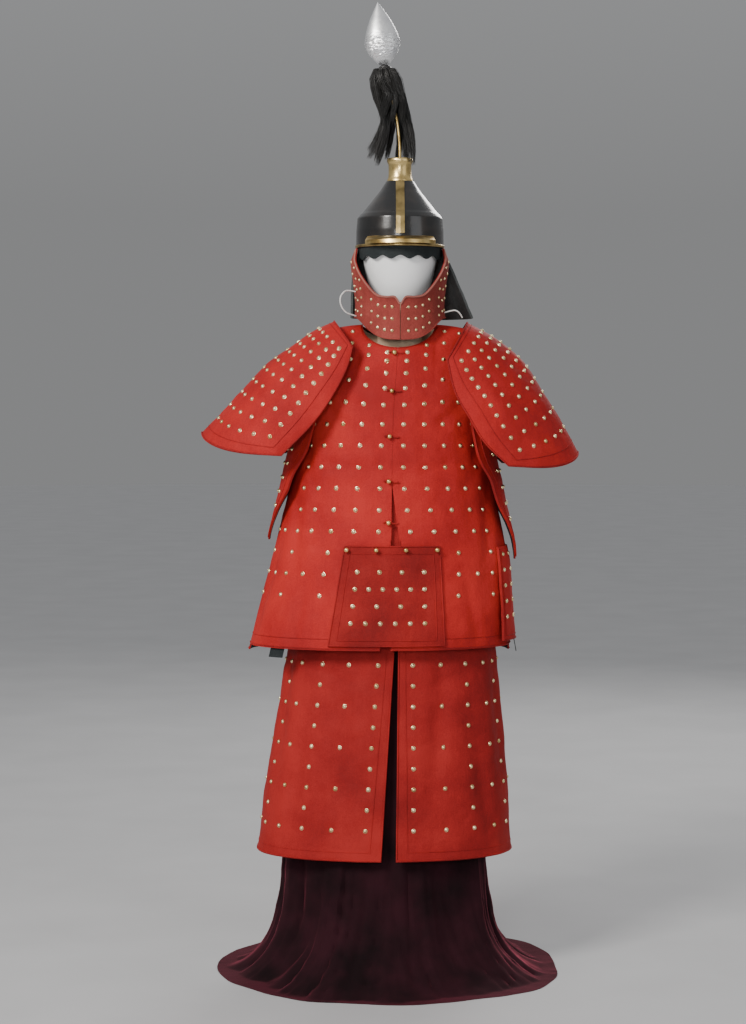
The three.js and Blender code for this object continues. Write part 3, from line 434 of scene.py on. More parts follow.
def skirt_panel(side):
    edge = SKIRT_EDGE[side]

    def point(s, t):
        z = mix(SKIRT_HEM, SKIRT_WAIST, t)
        row = row_at(SKIRT, "z", z)
        start = turn_of(mix(edge["bottom"], edge["top"], clamp01(t / 0.66)), row, side)
        end = 180 - turn_of(row["lean"] + side * SKIRT_BACK_EDGE, row, side)
        turn = mix(start, end, s)
        return ring_point(row, z, abs(turn), -side if turn < 0 else side, 0)

    return point


def drape_fold(turn):
    total = 0
    for fold in DRAPE_FOLDS:
        away = abs((turn - fold["turn"] + 540) % 360 - 180) / fold["half"]
        if away < 1:
            total += fold["out"] * math.cos(away * QUARTER) ** 2
    return total


def drape_cover(s, t):
    turn = (s * 360 + 360) % 360
    row = row_at(DRAPE, "t", t)
    half = turn if turn <= 180 else 360 - turn
    out = row["fold"] * drape_fold(turn)
    return ring_point(row, row["z"], half, 1 if turn <= 180 else -1, out)


def ear_guard(side):
    def point(s, t):
        turn = mix(EAR_EDGES[0]["turn"], EAR_EDGES[-1]["turn"], s)
        edge = row_at(EAR_EDGES, "turn", turn)
        z = mix(edge["bottom"], min(edge["top"], RIM), t)
        radius = row_at(CURTAIN, "z", z)["radius"]
        x = HEAD_X + side * radius * math.sin(math.radians(turn))
        return (x, -radius * math.cos(math.radians(turn)), z)

    return point


def nape_guard(s, t):
    turn = mix(NAPE["start"], NAPE["end"], s)
    flare = row_at(NAPE_FLARE, "turn", turn)["out"] * (1 - t) ** 1.2
    radius = mix(104, 98.4, t) + flare + 5 * math.sin(t * math.pi)
    x = HEAD_X + radius * math.sin(math.radians(turn))
    return (x, -radius * math.cos(math.radians(turn)), mix(NAPE["bottom"], RIM, t))


# Materials


class Look:
    """A principled material with short helpers for its texture nodes."""

    def __init__(self, name, roughness, metallic=0.0):
        self.material = bpy.data.materials.new(name)
        self.material.use_nodes = True
        self.nodes = self.material.node_tree.nodes
        self.links = self.material.node_tree.links
        self.shader = self.nodes["Principled BSDF"]
        self.tune(Roughness=roughness, Metallic=metallic)
        self.place = self.nodes.new("ShaderNodeTexCoord").outputs["Object"]

    def tune(self, **values):
        """Plain values on the shader's own sockets."""
        for name, value in values.items():
            self.shader.inputs[name.replace("_", " ")].default_value = value

    def add(self, kind, output, **inputs):
        """A new node's output; each input is a value or another node's output."""
        node = self.nodes.new("ShaderNode" + kind)
        for name, value in inputs.items():
            socket = node.inputs[name.replace("_", " ")]
            if isinstance(value, bpy.types.NodeSocket):
                self.links.new(value, socket)
            else:
                socket.default_value = value
        return node.outputs[output]

    def noise(self, scale, detail=3.0, stretch=(1, 1, 1)):
        spot = self.add("Mapping", "Vector", Vector=self.place, Scale=stretch)
        return self.add("TexNoise", "Fac", Vector=spot, Scale=scale, Detail=detail)

    def ramp(self, value, *stops):
        """Colours at (position, colour) stops along a value."""
        colour = self.add("ValToRGB", "Color", Fac=value)
        elements = colour.node.color_ramp.elements
        while len(elements) < len(stops):
            elements.new(0.5)
        for element, (position, tone) in zip(elements, stops):
            element.position = position
            element.color = (*tone, 1)
        return colour

    def blend(self, first, second, share):
        """A mix of two values, `share` of it the second."""
        return self.add("Mix", "Result", Factor=share, A=first, B=second)

    def colour(self, value):
        self.links.new(value, self.shader.inputs["Base Color"])

    def roughness(self, value, low, high):
        spread = self.add("MapRange", "Result", Value=value, To_Min=low, To_Max=high)
        self.links.new(spread, self.shader.inputs["Roughness"])

    def bump(self, *layers):
        """Layers of (value, strength, distance in metres), one over the other."""
        below = {}
        for value, strength, distance in layers:
            normal = self.add("Bump", "Normal", Height=value, Strength=strength, Distance=distance, **below)
            below = dict(Normal=normal)
        self.links.new(normal, self.shader.inputs["Normal"])

    def weave(self, scale):
        """Crossed threads, as the product of two bands."""
        both = self.nodes.new("ShaderNodeMath")
        both.operation = "MULTIPLY"
        for direction, socket in zip("XZ", both.inputs):
            band = self.add("TexWave", "Fac", Vector=self.place, Scale=scale, Distortion=0.6, Detail=1)
            band.node.bands_direction = direction
            self.links.new(band, socket)
        return both.outputs["Value"]


def cloth(name, dark, middle, light, sheen, roughness):
    look = Look(name, roughness)
    patches = look.noise(6.5, 6)
    streaks = look.noise(120, 3, (1, 1, 0.05))
    threads = look.noise(420, 2)
    tone = look.blend(look.blend(patches, streaks, 0.1), threads, 0.25)
    look.colour(look.ramp(tone, (0.4, dark), (0.5, middle), (0.6, light)))
    look.roughness(look.noise(38, 4), roughness - 0.08, roughness + 0.1)
    look.tune(Specular_IOR_Level=0.22, Sheen_Weight=sheen, Sheen_Roughness=0.4, Sheen_Tint=(*light, 1))
    creases = look.noise(30, 5)
    slubs = look.noise(240, 2, (1, 1, 0.12))
    look.bump((creases, 0.55, 0.006), (slubs, 0.25, 0.001), (look.weave(170), 0.3, 0.0005))
    return look.material


def metal(name, dark, light, low, high):
    look = Look(name, low, 1.0)
    look.colour(look.ramp(look.noise(34, 6), (0.32, dark), (0.6, light)))
    look.roughness(look.noise(90, 4), low, high)
    look.bump((look.noise(320, 3), 0.12, 0.0003), (look.noise(60, 2), 0.15, 0.0006))
    return look.material


def velvet_look():
    look = Look("velvet", 0.9)
    look.colour(look.ramp(look.noise(9, 4), (0.35, (0.007, 0.002, 0.003)), (0.65, (0.026, 0.005, 0.009))))
    look.tune(Sheen_Weight=1.0, Sheen_Roughness=0.3, Sheen_Tint=(0.5, 0.08, 0.13, 1), Specular_IOR_Level=0.15)
    look.bump((look.noise(14, 4), 0.25, 0.006), (look.noise(700, 2), 0.3, 0.0006))
    return look.material


def lacquer_look():
    look = Look("lacquer", 0.2)
    look.colour(look.ramp(look.noise(21, 7), (0.45, (0.008, 0.008, 0.008)), (0.8, (0.03, 0.022, 0.018))))
    look.roughness(look.noise(48, 5), 0.13, 0.34)
    look.tune(Coat_Weight=0.5, Coat_Roughness=0.12)
    look.bump((look.noise(70, 3), 0.12, 0.0006), (look.noise(12, 2), 0.2, 0.0016))
    return look.material


def plain(name, dark, light, roughness, grain):
    look = Look(name, roughness)
    look.colour(look.ramp(look.noise(12, 5), (0.3, dark), (0.7, light)))
    look.roughness(look.noise(50, 3), roughness - 0.06, roughness + 0.08)
    look.bump((look.noise(grain, 3), 0.15, 0.0005))
    return look.material


RED = cloth("red_cloth", (0.31, 0.009, 0.009), (0.4, 0.013, 0.012), (0.48, 0.021, 0.017), 0.1, 0.7)
BINDING = cloth("red_binding", (0.2, 0.008, 0.008), (0.3, 0.011, 0.01), (0.4, 0.018, 0.015), 0.1, 0.72)
# The skirts' red is a darker copy of the red cloth: painted shade, as the skirts hang low and catch less
# light.
SKIRT_RED_PAINTED_SHADE = cloth("skirt_red", (0.23, 0.008, 0.008), (0.3, 0.011, 0.01), (0.37, 0.018, 0.015), 0.08, 0.74)
# The front flap's red is a darker copy of the red cloth: painted shade.
FLAP_RED_PAINTED_SHADE = cloth("flap_red_painted_shade", (0.19, 0.006, 0.006), (0.26, 0.009, 0.008), (0.34, 0.015, 0.012), 0.08, 0.75)
RUST = cloth("rust_cloth", (0.2, 0.028, 0.022), (0.28, 0.045, 0.036), (0.38, 0.085, 0.065), 0.15, 0.75)
TRIM = cloth("pale_trim", (0.3, 0.1, 0.08), (0.38, 0.14, 0.11), (0.46, 0.2, 0.16), 0.15, 0.75)
GREY_LINING = cloth(
    "grey_lining", (0.055, 0.063, 0.063), (0.09, 0.1, 0.098), (0.13, 0.14, 0.138), 0.1, 0.75
)
LINING = cloth("dark_lining", (0.012, 0.016, 0.017), (0.022, 0.027, 0.028), (0.04, 0.046, 0.046), 0.1, 0.75)
LINEN = cloth("form_linen", (0.52, 0.37, 0.25), (0.6, 0.44, 0.31), (0.68, 0.52, 0.38), 0.1, 0.8)
WHITE_CORD = cloth("white_cord", (0.6, 0.59, 0.56), (0.74, 0.73, 0.7), (0.82, 0.81, 0.79), 0.1, 0.75)
VELVET_LOOK = velvet_look()
LACQUER = lacquer_look()
STUD_GILT = metal("stud_gilt", (0.62, 0.47, 0.2), (1.0, 0.86, 0.52), 0.22, 0.4)
BRASS = metal("gilt_brass", (0.45, 0.29, 0.09), (0.92, 0.69, 0.3), 0.22, 0.4)
DULL_BRASS = metal("dull_brass", (0.2, 0.14, 0.05), (0.52, 0.38, 0.16), 0.28, 0.46)
SILVER = metal("silver_white", (0.82, 0.82, 0.84), (1.0, 1.0, 1.0), 0.3, 0.5)
HAIR = plain("black_hair", (0.007, 0.007, 0.007), (0.024, 0.022, 0.02), 0.42, 500)
WHITE = plain("head_white", (0.93, 0.93, 0.92), (0.97, 0.97, 0.96), 0.5, 160)
STEEL = plain("stand_paint", (0.02, 0.02, 0.02), (0.04, 0.04, 0.04), 0.45, 240)
CLOTH_LOOKS = (RED, LINING, BINDING)
BODY_AXIS = (0, 0, 1000)


# Mesh helpers


def make(name, points, faces, looks, face_looks=None, smooth_angle=42):
    """A smooth-shaded mesh object from points in millimetres."""
    mesh = bpy.data.meshes.new(name)
    mesh.from_pydata([tuple(MM * c for c in p) for p in points], [], faces)
    for look in looks:
        mesh.materials.append(look)
    if face_looks is not None:
        mesh.polygons.foreach_set("material_index", face_looks)
    mesh.polygons.foreach_set("use_smooth", [True] * len(mesh.polygons))
    mesh.set_sharp_from_angle(angle=math.radians(smooth_angle))
    mesh.update()
    piece = bpy.data.objects.new(name, mesh)
    bpy.context.scene.collection.objects.link(piece)
    return piece


def place(piece, slot, *nodes):
    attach(piece, "root")
    if nodes:
        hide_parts(*nodes)
    return piece


def circle(sides):
    return [2 * math.pi * k / sides for k in range(sides)]


def ring_faces(count, sides, first=0):
    """Faces between rings of points, from the point numbered first on."""
    faces = []
    for j in range(count - 1):
        for k in range(sides):
            a, b = first + j * sides + k, first + j * sides + (k + 1) % sides
            faces.append((a, b, b + sides, a + sides))
    return faces


def end_faces(count, sides):
    last = (count - 1) * sides
    return [tuple(reversed(range(sides))), tuple(range(last, last + sides))]


def grid_of(point, across, up, closed):
    """Points and unit normals of a surface on a grid of s and t values."""
    if closed:
        step = across[1] - across[0]
        across = [across[0] - step, *across[:-1], across[-1]]
    points = np.array([[point(s, t) for s in across] for t in up], dtype=float)
    normals = np.cross(np.gradient(points, axis=1), np.gradient(points, axis=0))
    normals /= np.maximum(np.linalg.norm(normals, axis=2, keepdims=True), 1e-9)
    if closed:
        return points[:, 1:-1], normals[:, 1:-1]
    return points, normals


def dent_at(p, size):
    """A soft dent's share, 0 to 1, in patches of about `size`."""
    return clamp01(noise.fractal(Vector(p) / size, 0.8, 2.1, 3) * 0.6 + 0.5)


def everywhere(t):
    return 1


class Wall:
    """A thin wall with an outer face, a lining and bound edges, on a grid of (columns, rows).

    dents are (size, depth), mask(t) fades dents and creases, spots are the studs' places on the panel.
    """

    def __init__(
        self, name, point, grid, dents, mask=everywhere, spots=(), creases=(), looks=CLOTH_LOOKS,
        thick=PADDED_CLOTH, inside=BODY_AXIS, closed=False, fold=None,
    ):
        self.point = point
        self.size, self.depth = dents
        self.mask = mask
        self.spots = spots
        across, up = (steps(fine(count)) for count in grid)
        outer, normals = grid_of(point, across, up, closed)
        middle = (len(up) // 2, outer.shape[1] // 2)
        self.facing = -1 if np.dot(normals[middle], outer[middle] - np.array(inside)) < 0 else 1
        normals *= self.facing
        self.troughs = [self.trough(row) for row in creases]
        fade = np.array([mask(t) for t in up])[:, None]
        sunk = self.depth * fade * np.array([[dent_at(p, self.size) for p in row] for row in outer])
        for s, t in spots:
            away = np.linalg.norm(outer - self.spot(s, t), axis=2) / PUCKER_RADIUS
            sunk += PUCKER_DEPTH * mask(t) * np.exp(-away * away)
        sunk += self.sunk_by_troughs(outer) * fade
        if fold:
            sunk += np.array([[fold(p, t) for p in row] for t, row in zip(up, outer)])
        outer = outer - normals * sunk[:, :, None]
        inner = outer - normals * thick
        outer[:, :, 2] = np.maximum(outer[:, :, 2], 0.3)
        inner[:, :, 2] = np.maximum(inner[:, :, 2], 0)
        self.measure(outer)
        points = np.concatenate([outer.reshape(-1, 3), inner.reshape(-1, 3)])
        shift = len(points) // 2
        index = np.arange(shift).reshape(outer.shape[:2])
        if closed:
            index = np.hstack([index, index[:, :1]])
        cells = [index[:-1, :-1], index[:-1, 1:], index[1:, 1:], index[1:, :-1]]
        front = np.stack(cells, axis=-1).reshape(-1, 4)
        edges = [index[0, ::-1], index[-1]]
        if not closed:
            edges += [index[:, 0], index[::-1, -1]]
        rims = [np.stack([run[:-1], run[1:], run[1:] + shift, run[:-1] + shift], axis=-1) for run in edges]
        faces = np.concatenate([front, front[:, ::-1] + shift, *rims])[:, :: self.facing]
        looks_of = np.repeat((0, 1, 2), (len(front), len(front), len(faces) - 2 * len(front)))
        self.piece = make(name, points, faces.tolist(), looks, looks_of)

    def spot(self, s, t):
        return np.array(self.point(s, t))

    def trough(self, row):
        """A crease's middle, its two directions on the surface, and its sizes."""
        step = 0.01
        here = self.spot(row["s"], row["t"])
        along = self.spot(row["s"] + step, row["t"]) - here
        up = self.spot(row["s"], row["t"] + step) - here
        along /= np.linalg.norm(along)
        up -= along * np.dot(up, along)
        up /= np.linalg.norm(up)
        slant = math.radians(row["slant"])
        way = along * math.cos(slant) + up * math.sin(slant)
        side = up * math.cos(slant) - along * math.sin(slant)
        return here, way, side, row["long"], row["wide"], row["deep"]

    def sunk_by_troughs(self, points):
        """How deep the creases sink each point, with a low ridge beside each trough."""
        total = np.zeros(points.shape[:-1])
        for here, way, side, long, wide, deep in self.troughs:
            away = points - here
            run = (away @ way) / long
            off = (away @ side) / wide
            through = np.exp(-((np.linalg.norm(away, axis=-1) / (2.2 * long)) ** 4))
            bell = np.exp(-0.5 * off * off - run * run)
            total += CREASE_STRENGTH * deep * (1 - 0.5 * off * off) * bell * through
        return total

    def measure(self, outer):
        """Flat width, length and area of the cut, in metres."""
        wide, tall = np.diff(outer, axis=1), np.diff(outer, axis=0)
        self.width = float(np.linalg.norm(wide, axis=2).sum(axis=1).max()) * MM
        self.length = float(np.linalg.norm(tall, axis=2).sum(axis=0).max()) * MM
        cells = np.linalg.norm(np.cross(wide[:-1], tall[:, :-1]), axis=2)
        self.area = min(float(cells.sum()) * MM * MM, self.width * self.length)

    def frame_at(self, s, t):
        """Point, outward normal and a direction along the surface."""
        step = 0.004
        here = self.spot(s, t)
        along = self.spot(min(s + step, 1), t) - self.spot(max(s - step, 0), t)
        up = self.spot(s, min(t + step, 1)) - self.spot(s, max(t - step, 0))
        normal = np.cross(along, up) * self.facing
        normal /= np.linalg.norm(normal)
        sunk = self.depth * dent_at(here, self.size) + float(self.sunk_by_troughs(here))
        here = here - normal * self.mask(t) * sunk
        return here, normal, along / np.linalg.norm(along)

    def sew(self, slot, nodes, pipes=(), stud_radius=STUD_RADIUS):
        place(self.piece, slot, *nodes)
        stem = self.piece.name.removesuffix("_cloth")
        extras = [studs(stem + "_studs", self, stud_radius)] if self.spots else []
        extras += [piping(f"{stem}_{word}", self, *pipe) for word, *pipe in pipes]
        area = max(self.area, 0.3 * self.width * self.length)


STUD_PROFILE = table(
    "share height", (1.1, -0.5), (1.06, 0.4), (0.92, 0.55), (0.86, 1.4), (0.68, 2.5), (0.38, 3.3), (0.12, 3.6)
)
STUD_SIDES = 12 if DETAIL == 1 else 8


def studs(name, wall, radius):
    """Domed brass studs with a thin flange, set on a wall's spots."""
    points, faces = [], []
    rise = radius / STUD_RADIUS
    for s, t in wall.spots:
        here, normal, along = wall.frame_at(s, t)
        here = here - normal * 0.7 * PUCKER_DEPTH * wall.mask(t)
        across = np.cross(normal, along)
        faces += ring_faces(len(STUD_PROFILE), STUD_SIDES, len(points))
        for row in STUD_PROFILE:
            for turn in circle(STUD_SIDES):
                rim = along * math.cos(turn) + across * math.sin(turn)
                points.append(here + rim * row["share"] * radius + normal * row["height"] * rise)
        faces.append(tuple(range(len(points) - STUD_SIDES, len(points))))
    return place(make(name, points, faces, [STUD_GILT]), "brass")


def tube(name, path, radius, look, sides):
    """A round tube along a path of points in millimetres."""
    path = [Vector(p) for p in path]
    points = []
    normal = None
    for i, here in enumerate(path):
        ahead = (path[min(i + 1, len(path) - 1)] - path[max(i - 1, 0)]).normalized()
        if normal is None:
            normal = ahead.orthogonal().normalized()
        normal = (normal - ahead * normal.dot(ahead)).normalized()
        across = ahead.cross(normal)
        for turn in circle(sides):
            points.append(here + (normal * math.cos(turn) + across * math.sin(turn)) * radius)
    faces = ring_faces(len(path), sides) + end_faces(len(path), sides)
    return make(name, points, faces, [look])


def piping(name, wall, radius, corners, look=BINDING, slot="red_cloth"):
    """A sewn cord that lies on a wall along straight runs between (s, t) corners."""
    path = []
    for (s0, t0), (s1, t1) in zip(corners, corners[1:]):
        for share in steps(fine(40))[: -1 if (s1, t1) != corners[-1] else None]:
            here, normal, _ = wall.frame_at(mix(s0, s1, share), mix(t0, t1, share))
            path.append(here + normal * radius * 0.35)
    return place(tube(name, path, radius, look, 6), slot)


def three_sides(inset, low, high):
    """Corners down one side of a panel, along its foot and up the other side."""
    return [(inset, high), (inset, low), (1 - inset, low), (1 - inset, high)]


def four_sides(inset, low, high):
    """Corners all round a panel."""
    return [(inset, low), (inset, high), (1 - inset, high), (1 - inset, low), (inset, low)]


def lathe(name, profile, look, centre, sides, shape=None, ring=False):
    """A solid of revolution about +Z from (radius, z) pairs; shape(x, y, z) may move its points.

    With ring the last pair joins the first, so the solid stays open along its axis.
    """
    sides = fine(sides)
    points = []
    for radius, z in profile:
        for turn in circle(sides):
            p = (radius * math.sin(turn), -radius * math.cos(turn), z)
            x, y, z_moved = shape(*p) if shape else p
            points.append((x + centre[0], y + centre[1], z_moved))
    faces = ring_faces(len(profile), sides)
    if ring:
        last = (len(profile) - 1) * sides
        for k in range(sides):
            after = (k + 1) % sides
            faces.append((last + k, last + after, after, k))
    else:
        faces += end_faces(len(profile), sides)
    return make(name, points, faces, [look])


def smooth_profile(rows, count):
    """(radius, z) pairs on a smooth curve through a table's rows."""
    heights = [mix(rows[0]["z"], rows[-1]["z"], share) for share in steps(count)]
    return [(row_at(rows, "z", z)["radius"], z) for z in heights]


# Camera at the photograph's angle

LOOK_DOWN = math.radians(2.77)
camera_data = bpy.data.cameras.new("camera")
camera_data.lens = 81.5
camera = bpy.data.objects.new("camera", camera_data)
camera.location = (-0.038, -5.2, 1.28)
camera.rotation_euler = (math.pi / 2 - LOOK_DOWN, 0, 0)
bpy.context.scene.collection.objects.link(camera)
bpy.context.scene.camera = camera


# White ties between the helmet curtain and the shoulders


def tie(side):
    route = [dict(row, step=k) for k, row in enumerate(TIES[side])]
    spans = len(route) - 1
    stops = [row_at(route, "step", spans * share) for share in steps(8 * spans)]
    path = [Vector((row["x"], row["y"], row["z"])) for row in stops]
    piece = place(tube(f"tie_{side}", path, TIE_RADIUS, WHITE_CORD, 10), "white_cord", f"tie_cord_{side}")
    path = [p * MM for p in path]
    length = sum((b - a).length for a, b in zip(path, path[1:]))
    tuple(path[0])


tie("right")
tie("left")


# Jacket

NAMES = {-1: "right", 1: "left"}
JACKET_DENTS = (95, 3.2)
WAIST_ROW = 5
UNDER_LAP = dict(depth=9, half=0.09, low=0.03, high=0.46)


def lattice(i, j):
    return j % 2 == 1 or i % 2 == 0


def cell_places(columns, rows, keep):
    """Middles of the grid cells that keep(column, row) accepts."""
    cells = [(i, j) for j in range(rows) for i in range(columns) if keep(i, j)]
    return [((i + 0.5) / columns, (j + 0.5) / rows) for i, j in cells]


def jacket_lattice(i, j):
    """Every column above the waist; below it every column on odd rows and every other one between."""
    return 2 <= j <= 15 and (j > WAIST_ROW or lattice(i, j))


def covered_front(i, j):
    """Cells under the front flap and the guards."""
    return (i < 2 and j < 5) or (i > 3 and j > 13) or (i > 4 and j > WAIST_ROW)


def covered_back(i, j):
    """Cells under the guards and the side flap."""
    from_side = min(i, 2 * QUARTER_COLUMNS - 1 - i)
    under_side_flap = i > QUARTER_COLUMNS and from_side < 2 and j <= WAIST_ROW
    return (j > 13 and from_side < 4) or (j > WAIST_ROW and from_side < 2) or under_side_flap


def fade_up(high, span):
    """A mask that is 1 low on a panel and falls to 0 at `high`."""
    return lambda t: clamp01((high - t) / span)


below_chest = fade_up(0.92, 0.25)
for side in (-1, 1):
    last_column = 4 if side > 0 else QUARTER_COLUMNS
    spots = cell_places(
        QUARTER_COLUMNS,
        BODY_ROWS,
        lambda i, j: jacket_lattice(i, j) and not covered_front(i, j) and i <= last_column,
    )
    name = f"jacket_front_{NAMES[side]}"
    panel = Wall(
        name + "_cloth", jacket_front(side), (72, 136), JACKET_DENTS, below_chest, spots, FRONT_CREASES
    )
    pipes = [
        ("hem", 0.8, [(0.02, 0.03), (1, 0.03)]),
        ("rim", 1.5, [(0.004, 0.3), (0.004, 0.004), (1, 0.004)]),
        ("neck", 1.5, [(0, 0.985), (2 / QUARTER_COLUMNS, 0.985)]),
    ]
    panel.sew("red_cloth", [name], pipes)


def under_lap(s, t):
    """Strip behind the front opening, from one front to the other: a real facing, made in the darker binding
    red as painted shade for the shadowed overlap.
    """
    up = mix(UNDER_LAP["low"], UNDER_LAP["high"], t)
    right, left = (jacket_front(side)(UNDER_LAP["half"], up) for side in (-1, 1))
    x, y, z = (mix(a, b, s) for a, b in zip(right, left))
    return (x, y + UNDER_LAP["depth"], z)


# The under-lap is in the darker binding red: painted shade where the fronts overlap in shadow.
lap = Wall("front_under_lap", under_lap, (12, 60), (60, 1), looks=[BINDING] * 3, thick=2)
lap.sew("red_cloth", [])

spots = cell_places(
    2 * QUARTER_COLUMNS, BODY_ROWS, lambda i, j: jacket_lattice(i, j) and not covered_back(i, j)
)
panel = Wall("jacket_back_cloth", jacket_back, (144, 136), JACKET_DENTS, below_chest, spots, BACK_CREASES)
pipes = [("hem", 0.8, [(0, 0.03), (1, 0.03)]), ("rim", 1.5, [(0, 0.004), (1, 0.004)])]
panel.sew("red_cloth", ["jacket_back"], pipes)


# Flaps

FLAP_STUDS = table("t spaces", (0.23, 5), (0.4, 3), (0.57, 5), (0.74, 3))
HEM_TAB = dict(bottom=714, top=780, start=47, end=57, under=4)

spots = [(mix(0.17, 0.83, share), row["t"]) for row in FLAP_STUDS for share in steps(row["spaces"])]
# The flap's outer face uses the darker copy of the red cloth, painted shade.
looks = [FLAP_RED_PAINTED_SHADE, LINING, BINDING]
panel = Wall("front_flap_cloth", front_flap, (80, 72), JACKET_DENTS, spots=spots, looks=looks)
pipes = [("border", 1.2, four_sides(0.07, 0.06, 0.92)), ("rim", 1.6, four_sides(0.006, 0.006, 0.994))]
panel.sew("red_cloth", ["front_flap"], pipes)

spots = cell_places(4, 6, lambda i, j: j > 0)
panel = Wall("side_flap_cloth", side_flap, (56, 72), JACKET_DENTS, spots=spots)
pipes = [("border", 0.9, three_sides(0.06, 0.05, 0.98)), ("rim", 1.6, three_sides(0.01, 0.006, 0.99))]
panel.sew("red_cloth", ["side_flap"], pipes)

for k, turn in enumerate((78, 98)):
    name = f"side_flap_ribbon_{k + 1}"
    ribbon = Wall(name, flap_tie(turn), (6, 12), (20, 0.4), looks=[LINING] * 3, thick=1.2, inside=(0, 0, 735))
    ribbon.sew("lining", [f"side_flap_tie_{k + 1}"])


def hem_tab(s, t):
    """Tab of dark lining under the hem on the wearer's right."""
    z = mix(HEM_TAB["bottom"], HEM_TAB["top"], t)
    return jacket_ring(z, mix(HEM_TAB["start"], HEM_TAB["end"], s), -1, -PADDED_CLOTH - HEM_TAB["under"])


tab = Wall("hem_tab", hem_tab, (10, 14), (30, 1), looks=[LINING] * 3, thick=1.2)
tab.sew("lining", [])


# Buttons, with the braid loops that take them

BUTTON_HEIGHTS = (1384, 1300, 1200, 1102, 1012)
BUTTON_IN = 7
LOOP = dict(start=-12, length=34, off=1.6, wave=2.4, radius=1.5)
FLAP_BUTTONS = (-0.94, -0.33, 0.28, 0.92)
FLAP_BUTTON_DOWN = 9


def button(name, centre, node):
    profile = []
    for share in steps(12):
        radius = max(BUTTON_RADIUS * math.sin(math.pi * share), 0.3)
        profile.append((radius, centre[2] - BUTTON_RADIUS * math.cos(math.pi * share)))
    place(lathe(name, profile, BRASS, centre, 24), "brass", node)


neck_lift = top_of(JACKET, "front", 0)[0] - CHEST_Z
for k, z in enumerate(BUTTON_HEIGHTS):
    level = CHEST_SHARE * (z - JACKET["hem"]["front"]) / (CHEST_Z - JACKET["hem"]["front"])
    rolled = CHEST_SHARE + (1 - CHEST_SHARE) * math.asin(clamp01((z - CHEST_Z) / neck_lift)) / QUARTER
    x, y, _ = body_point(JACKET, "front", -1, 0, level if z <= CHEST_Z else rolled)
    x -= BUTTON_IN
    button(f"jacket_ball_{k + 1}", (x, y - BUTTON_RADIUS - SEAM - SEAT / 2, z), f"jacket_button_{k + 1}")
    y -= LOOP["off"] + SEAM
    loop = [
        (x + LOOP["length"] * share + LOOP["start"], y, z + LOOP["wave"] * math.sin(6 * share))
        for share in steps(10)
    ]
    place(tube(f"jacket_loop_{k + 1}", loop, LOOP["radius"], BINDING, 6), "red_cloth")

for k, share in enumerate(FLAP_BUTTONS):
    z = FLAP["top"] - FLAP_BUTTON_DOWN
    turn = turn_of(FLAP["top_mid"] + FLAP["top_half"] * share, row_at(JACKET["rows"], "z", z))
    off = SEAM + LAID_ON + PADDED_CLOTH + SEAT + BUTTON_RADIUS
    centre = jacket_ring(z, abs(turn), math.copysign(1, turn), off)
    button(f"flap_ball_{k + 1}", centre, f"flap_button_{k + 1}")


# Shoulder guards, armpit guards and skirt


def inner_cells(columns, rows, low=1):
    """Middles of the grid cells off the panel's edges, from row `low` up."""
    return cell_places(columns, rows, lambda i, j: 0 < i < columns - 1 and low <= j < rows - 1)


def away_from_neck(t):
    return clamp01((t - 0.2) / 0.3)


free_end = fade_up(0.9, 0.5)
skirt_rise = SKIRT_STUD_PITCH / (SKIRT_WAIST - SKIRT_HEM)
for side in (-1, 1):
    name = f"shoulder_guard_{NAMES[side]}"
    inside = (0, 0, row_at(GUARD_RIDGES[side], "along", 0.5)["z"] - 300)
    spots = inner_cells(GUARD_STUD_COLUMNS, GUARD_STUD_ROWS)
    panel = Wall(
        name + "_cloth", shoulder_guard(side), (110, 100), (70, 2.4), away_from_neck, spots, GUARD_CREASES,
        inside=inside,
    )
    pipes = [("border", 0.9, four_sides(0.06, 0.04, 0.94)), ("rim", 1.9, four_sides(0.004, 0.006, 0.994))]
    panel.sew("red_cloth", [name], pipes)

    name = f"armpit_guard_{NAMES[side]}"
    spots = inner_cells(ARMPIT_COLUMNS, ARMPIT_ROWS, 2)
    panel = Wall(name + "_cloth", armpit_guard(side), (56, 84), (70, 2.4), fade_up(0.85, 0.3), spots)
    pipes = [
        ("rim", 1.7, three_sides(0.008, 0.02, 0.98)),
        ("border", 0.9, [(0.08, 0.96), (0.12, 0.1)]),
        ("border_back", 0.9, [(0.92, 0.96), (0.88, 0.1)]),
    ]
    panel.sew("red_cloth", [name], pipes)

    name = f"skirt_{NAMES[side]}"
    cells = [(i, j) for j in range(1, SKIRT_STUD_ROWS) for i in range(SKIRT_COLUMNS) if lattice(i, j)]
    spots = [((i + 0.5) / SKIRT_COLUMNS, (j + 0.5) * skirt_rise) for i, j in cells]
    # The skirt's outer face uses the darker copy of the red cloth, painted shade.
    panel = Wall(
        name + "_cloth", skirt_panel(side), (130, 110), (120, 5), fade_up(0.9, 0.25), spots, SKIRT_CREASES,
        [SKIRT_RED_PAINTED_SHADE, LINING, BINDING],
    )
    pipes = [
        ("border", 0.8, [(0.022, 0.7), (0.03, 0.03), (0.97, 0.03), (0.978, 0.7)]),
        ("rim", 1.8, three_sides(0.002, 0.004, 0.7)),
    ]
    panel.sew("red_cloth", [name], pipes)


# Helmet curtain

ear_spots = [(0.1 + 0.1 * i, 0.2 + 0.27 * j) for i in range(4) for j in range(3)]
ear_spots += [(0.6 + 0.11 * i, 0.12 + 0.17 * j) for i in range(3) for j in range(5)]
for side in (-1, 1):
    name = f"ear_guard_{NAMES[side]}"
    panel = Wall(
        name + "_cloth", ear_guard(side), (84, 48), (40, 1.4), free_end, ear_spots,
        looks=[RUST, LINING, BINDING], thick=CURTAIN_CLOTH, inside=(HEAD_X, 0, 1500),
    )
    pipes = [
        ("trim", 2.1, [(0.004, 0.97), (0.78, 0.985)], TRIM, "rust_cloth"),
        ("rim", 1.5, [(0.004, 0.012), (0.99, 0.012)], RUST, "rust_cloth"),
    ]
    panel.sew("rust_cloth", [name], pipes, SMALL_STUD_RADIUS)

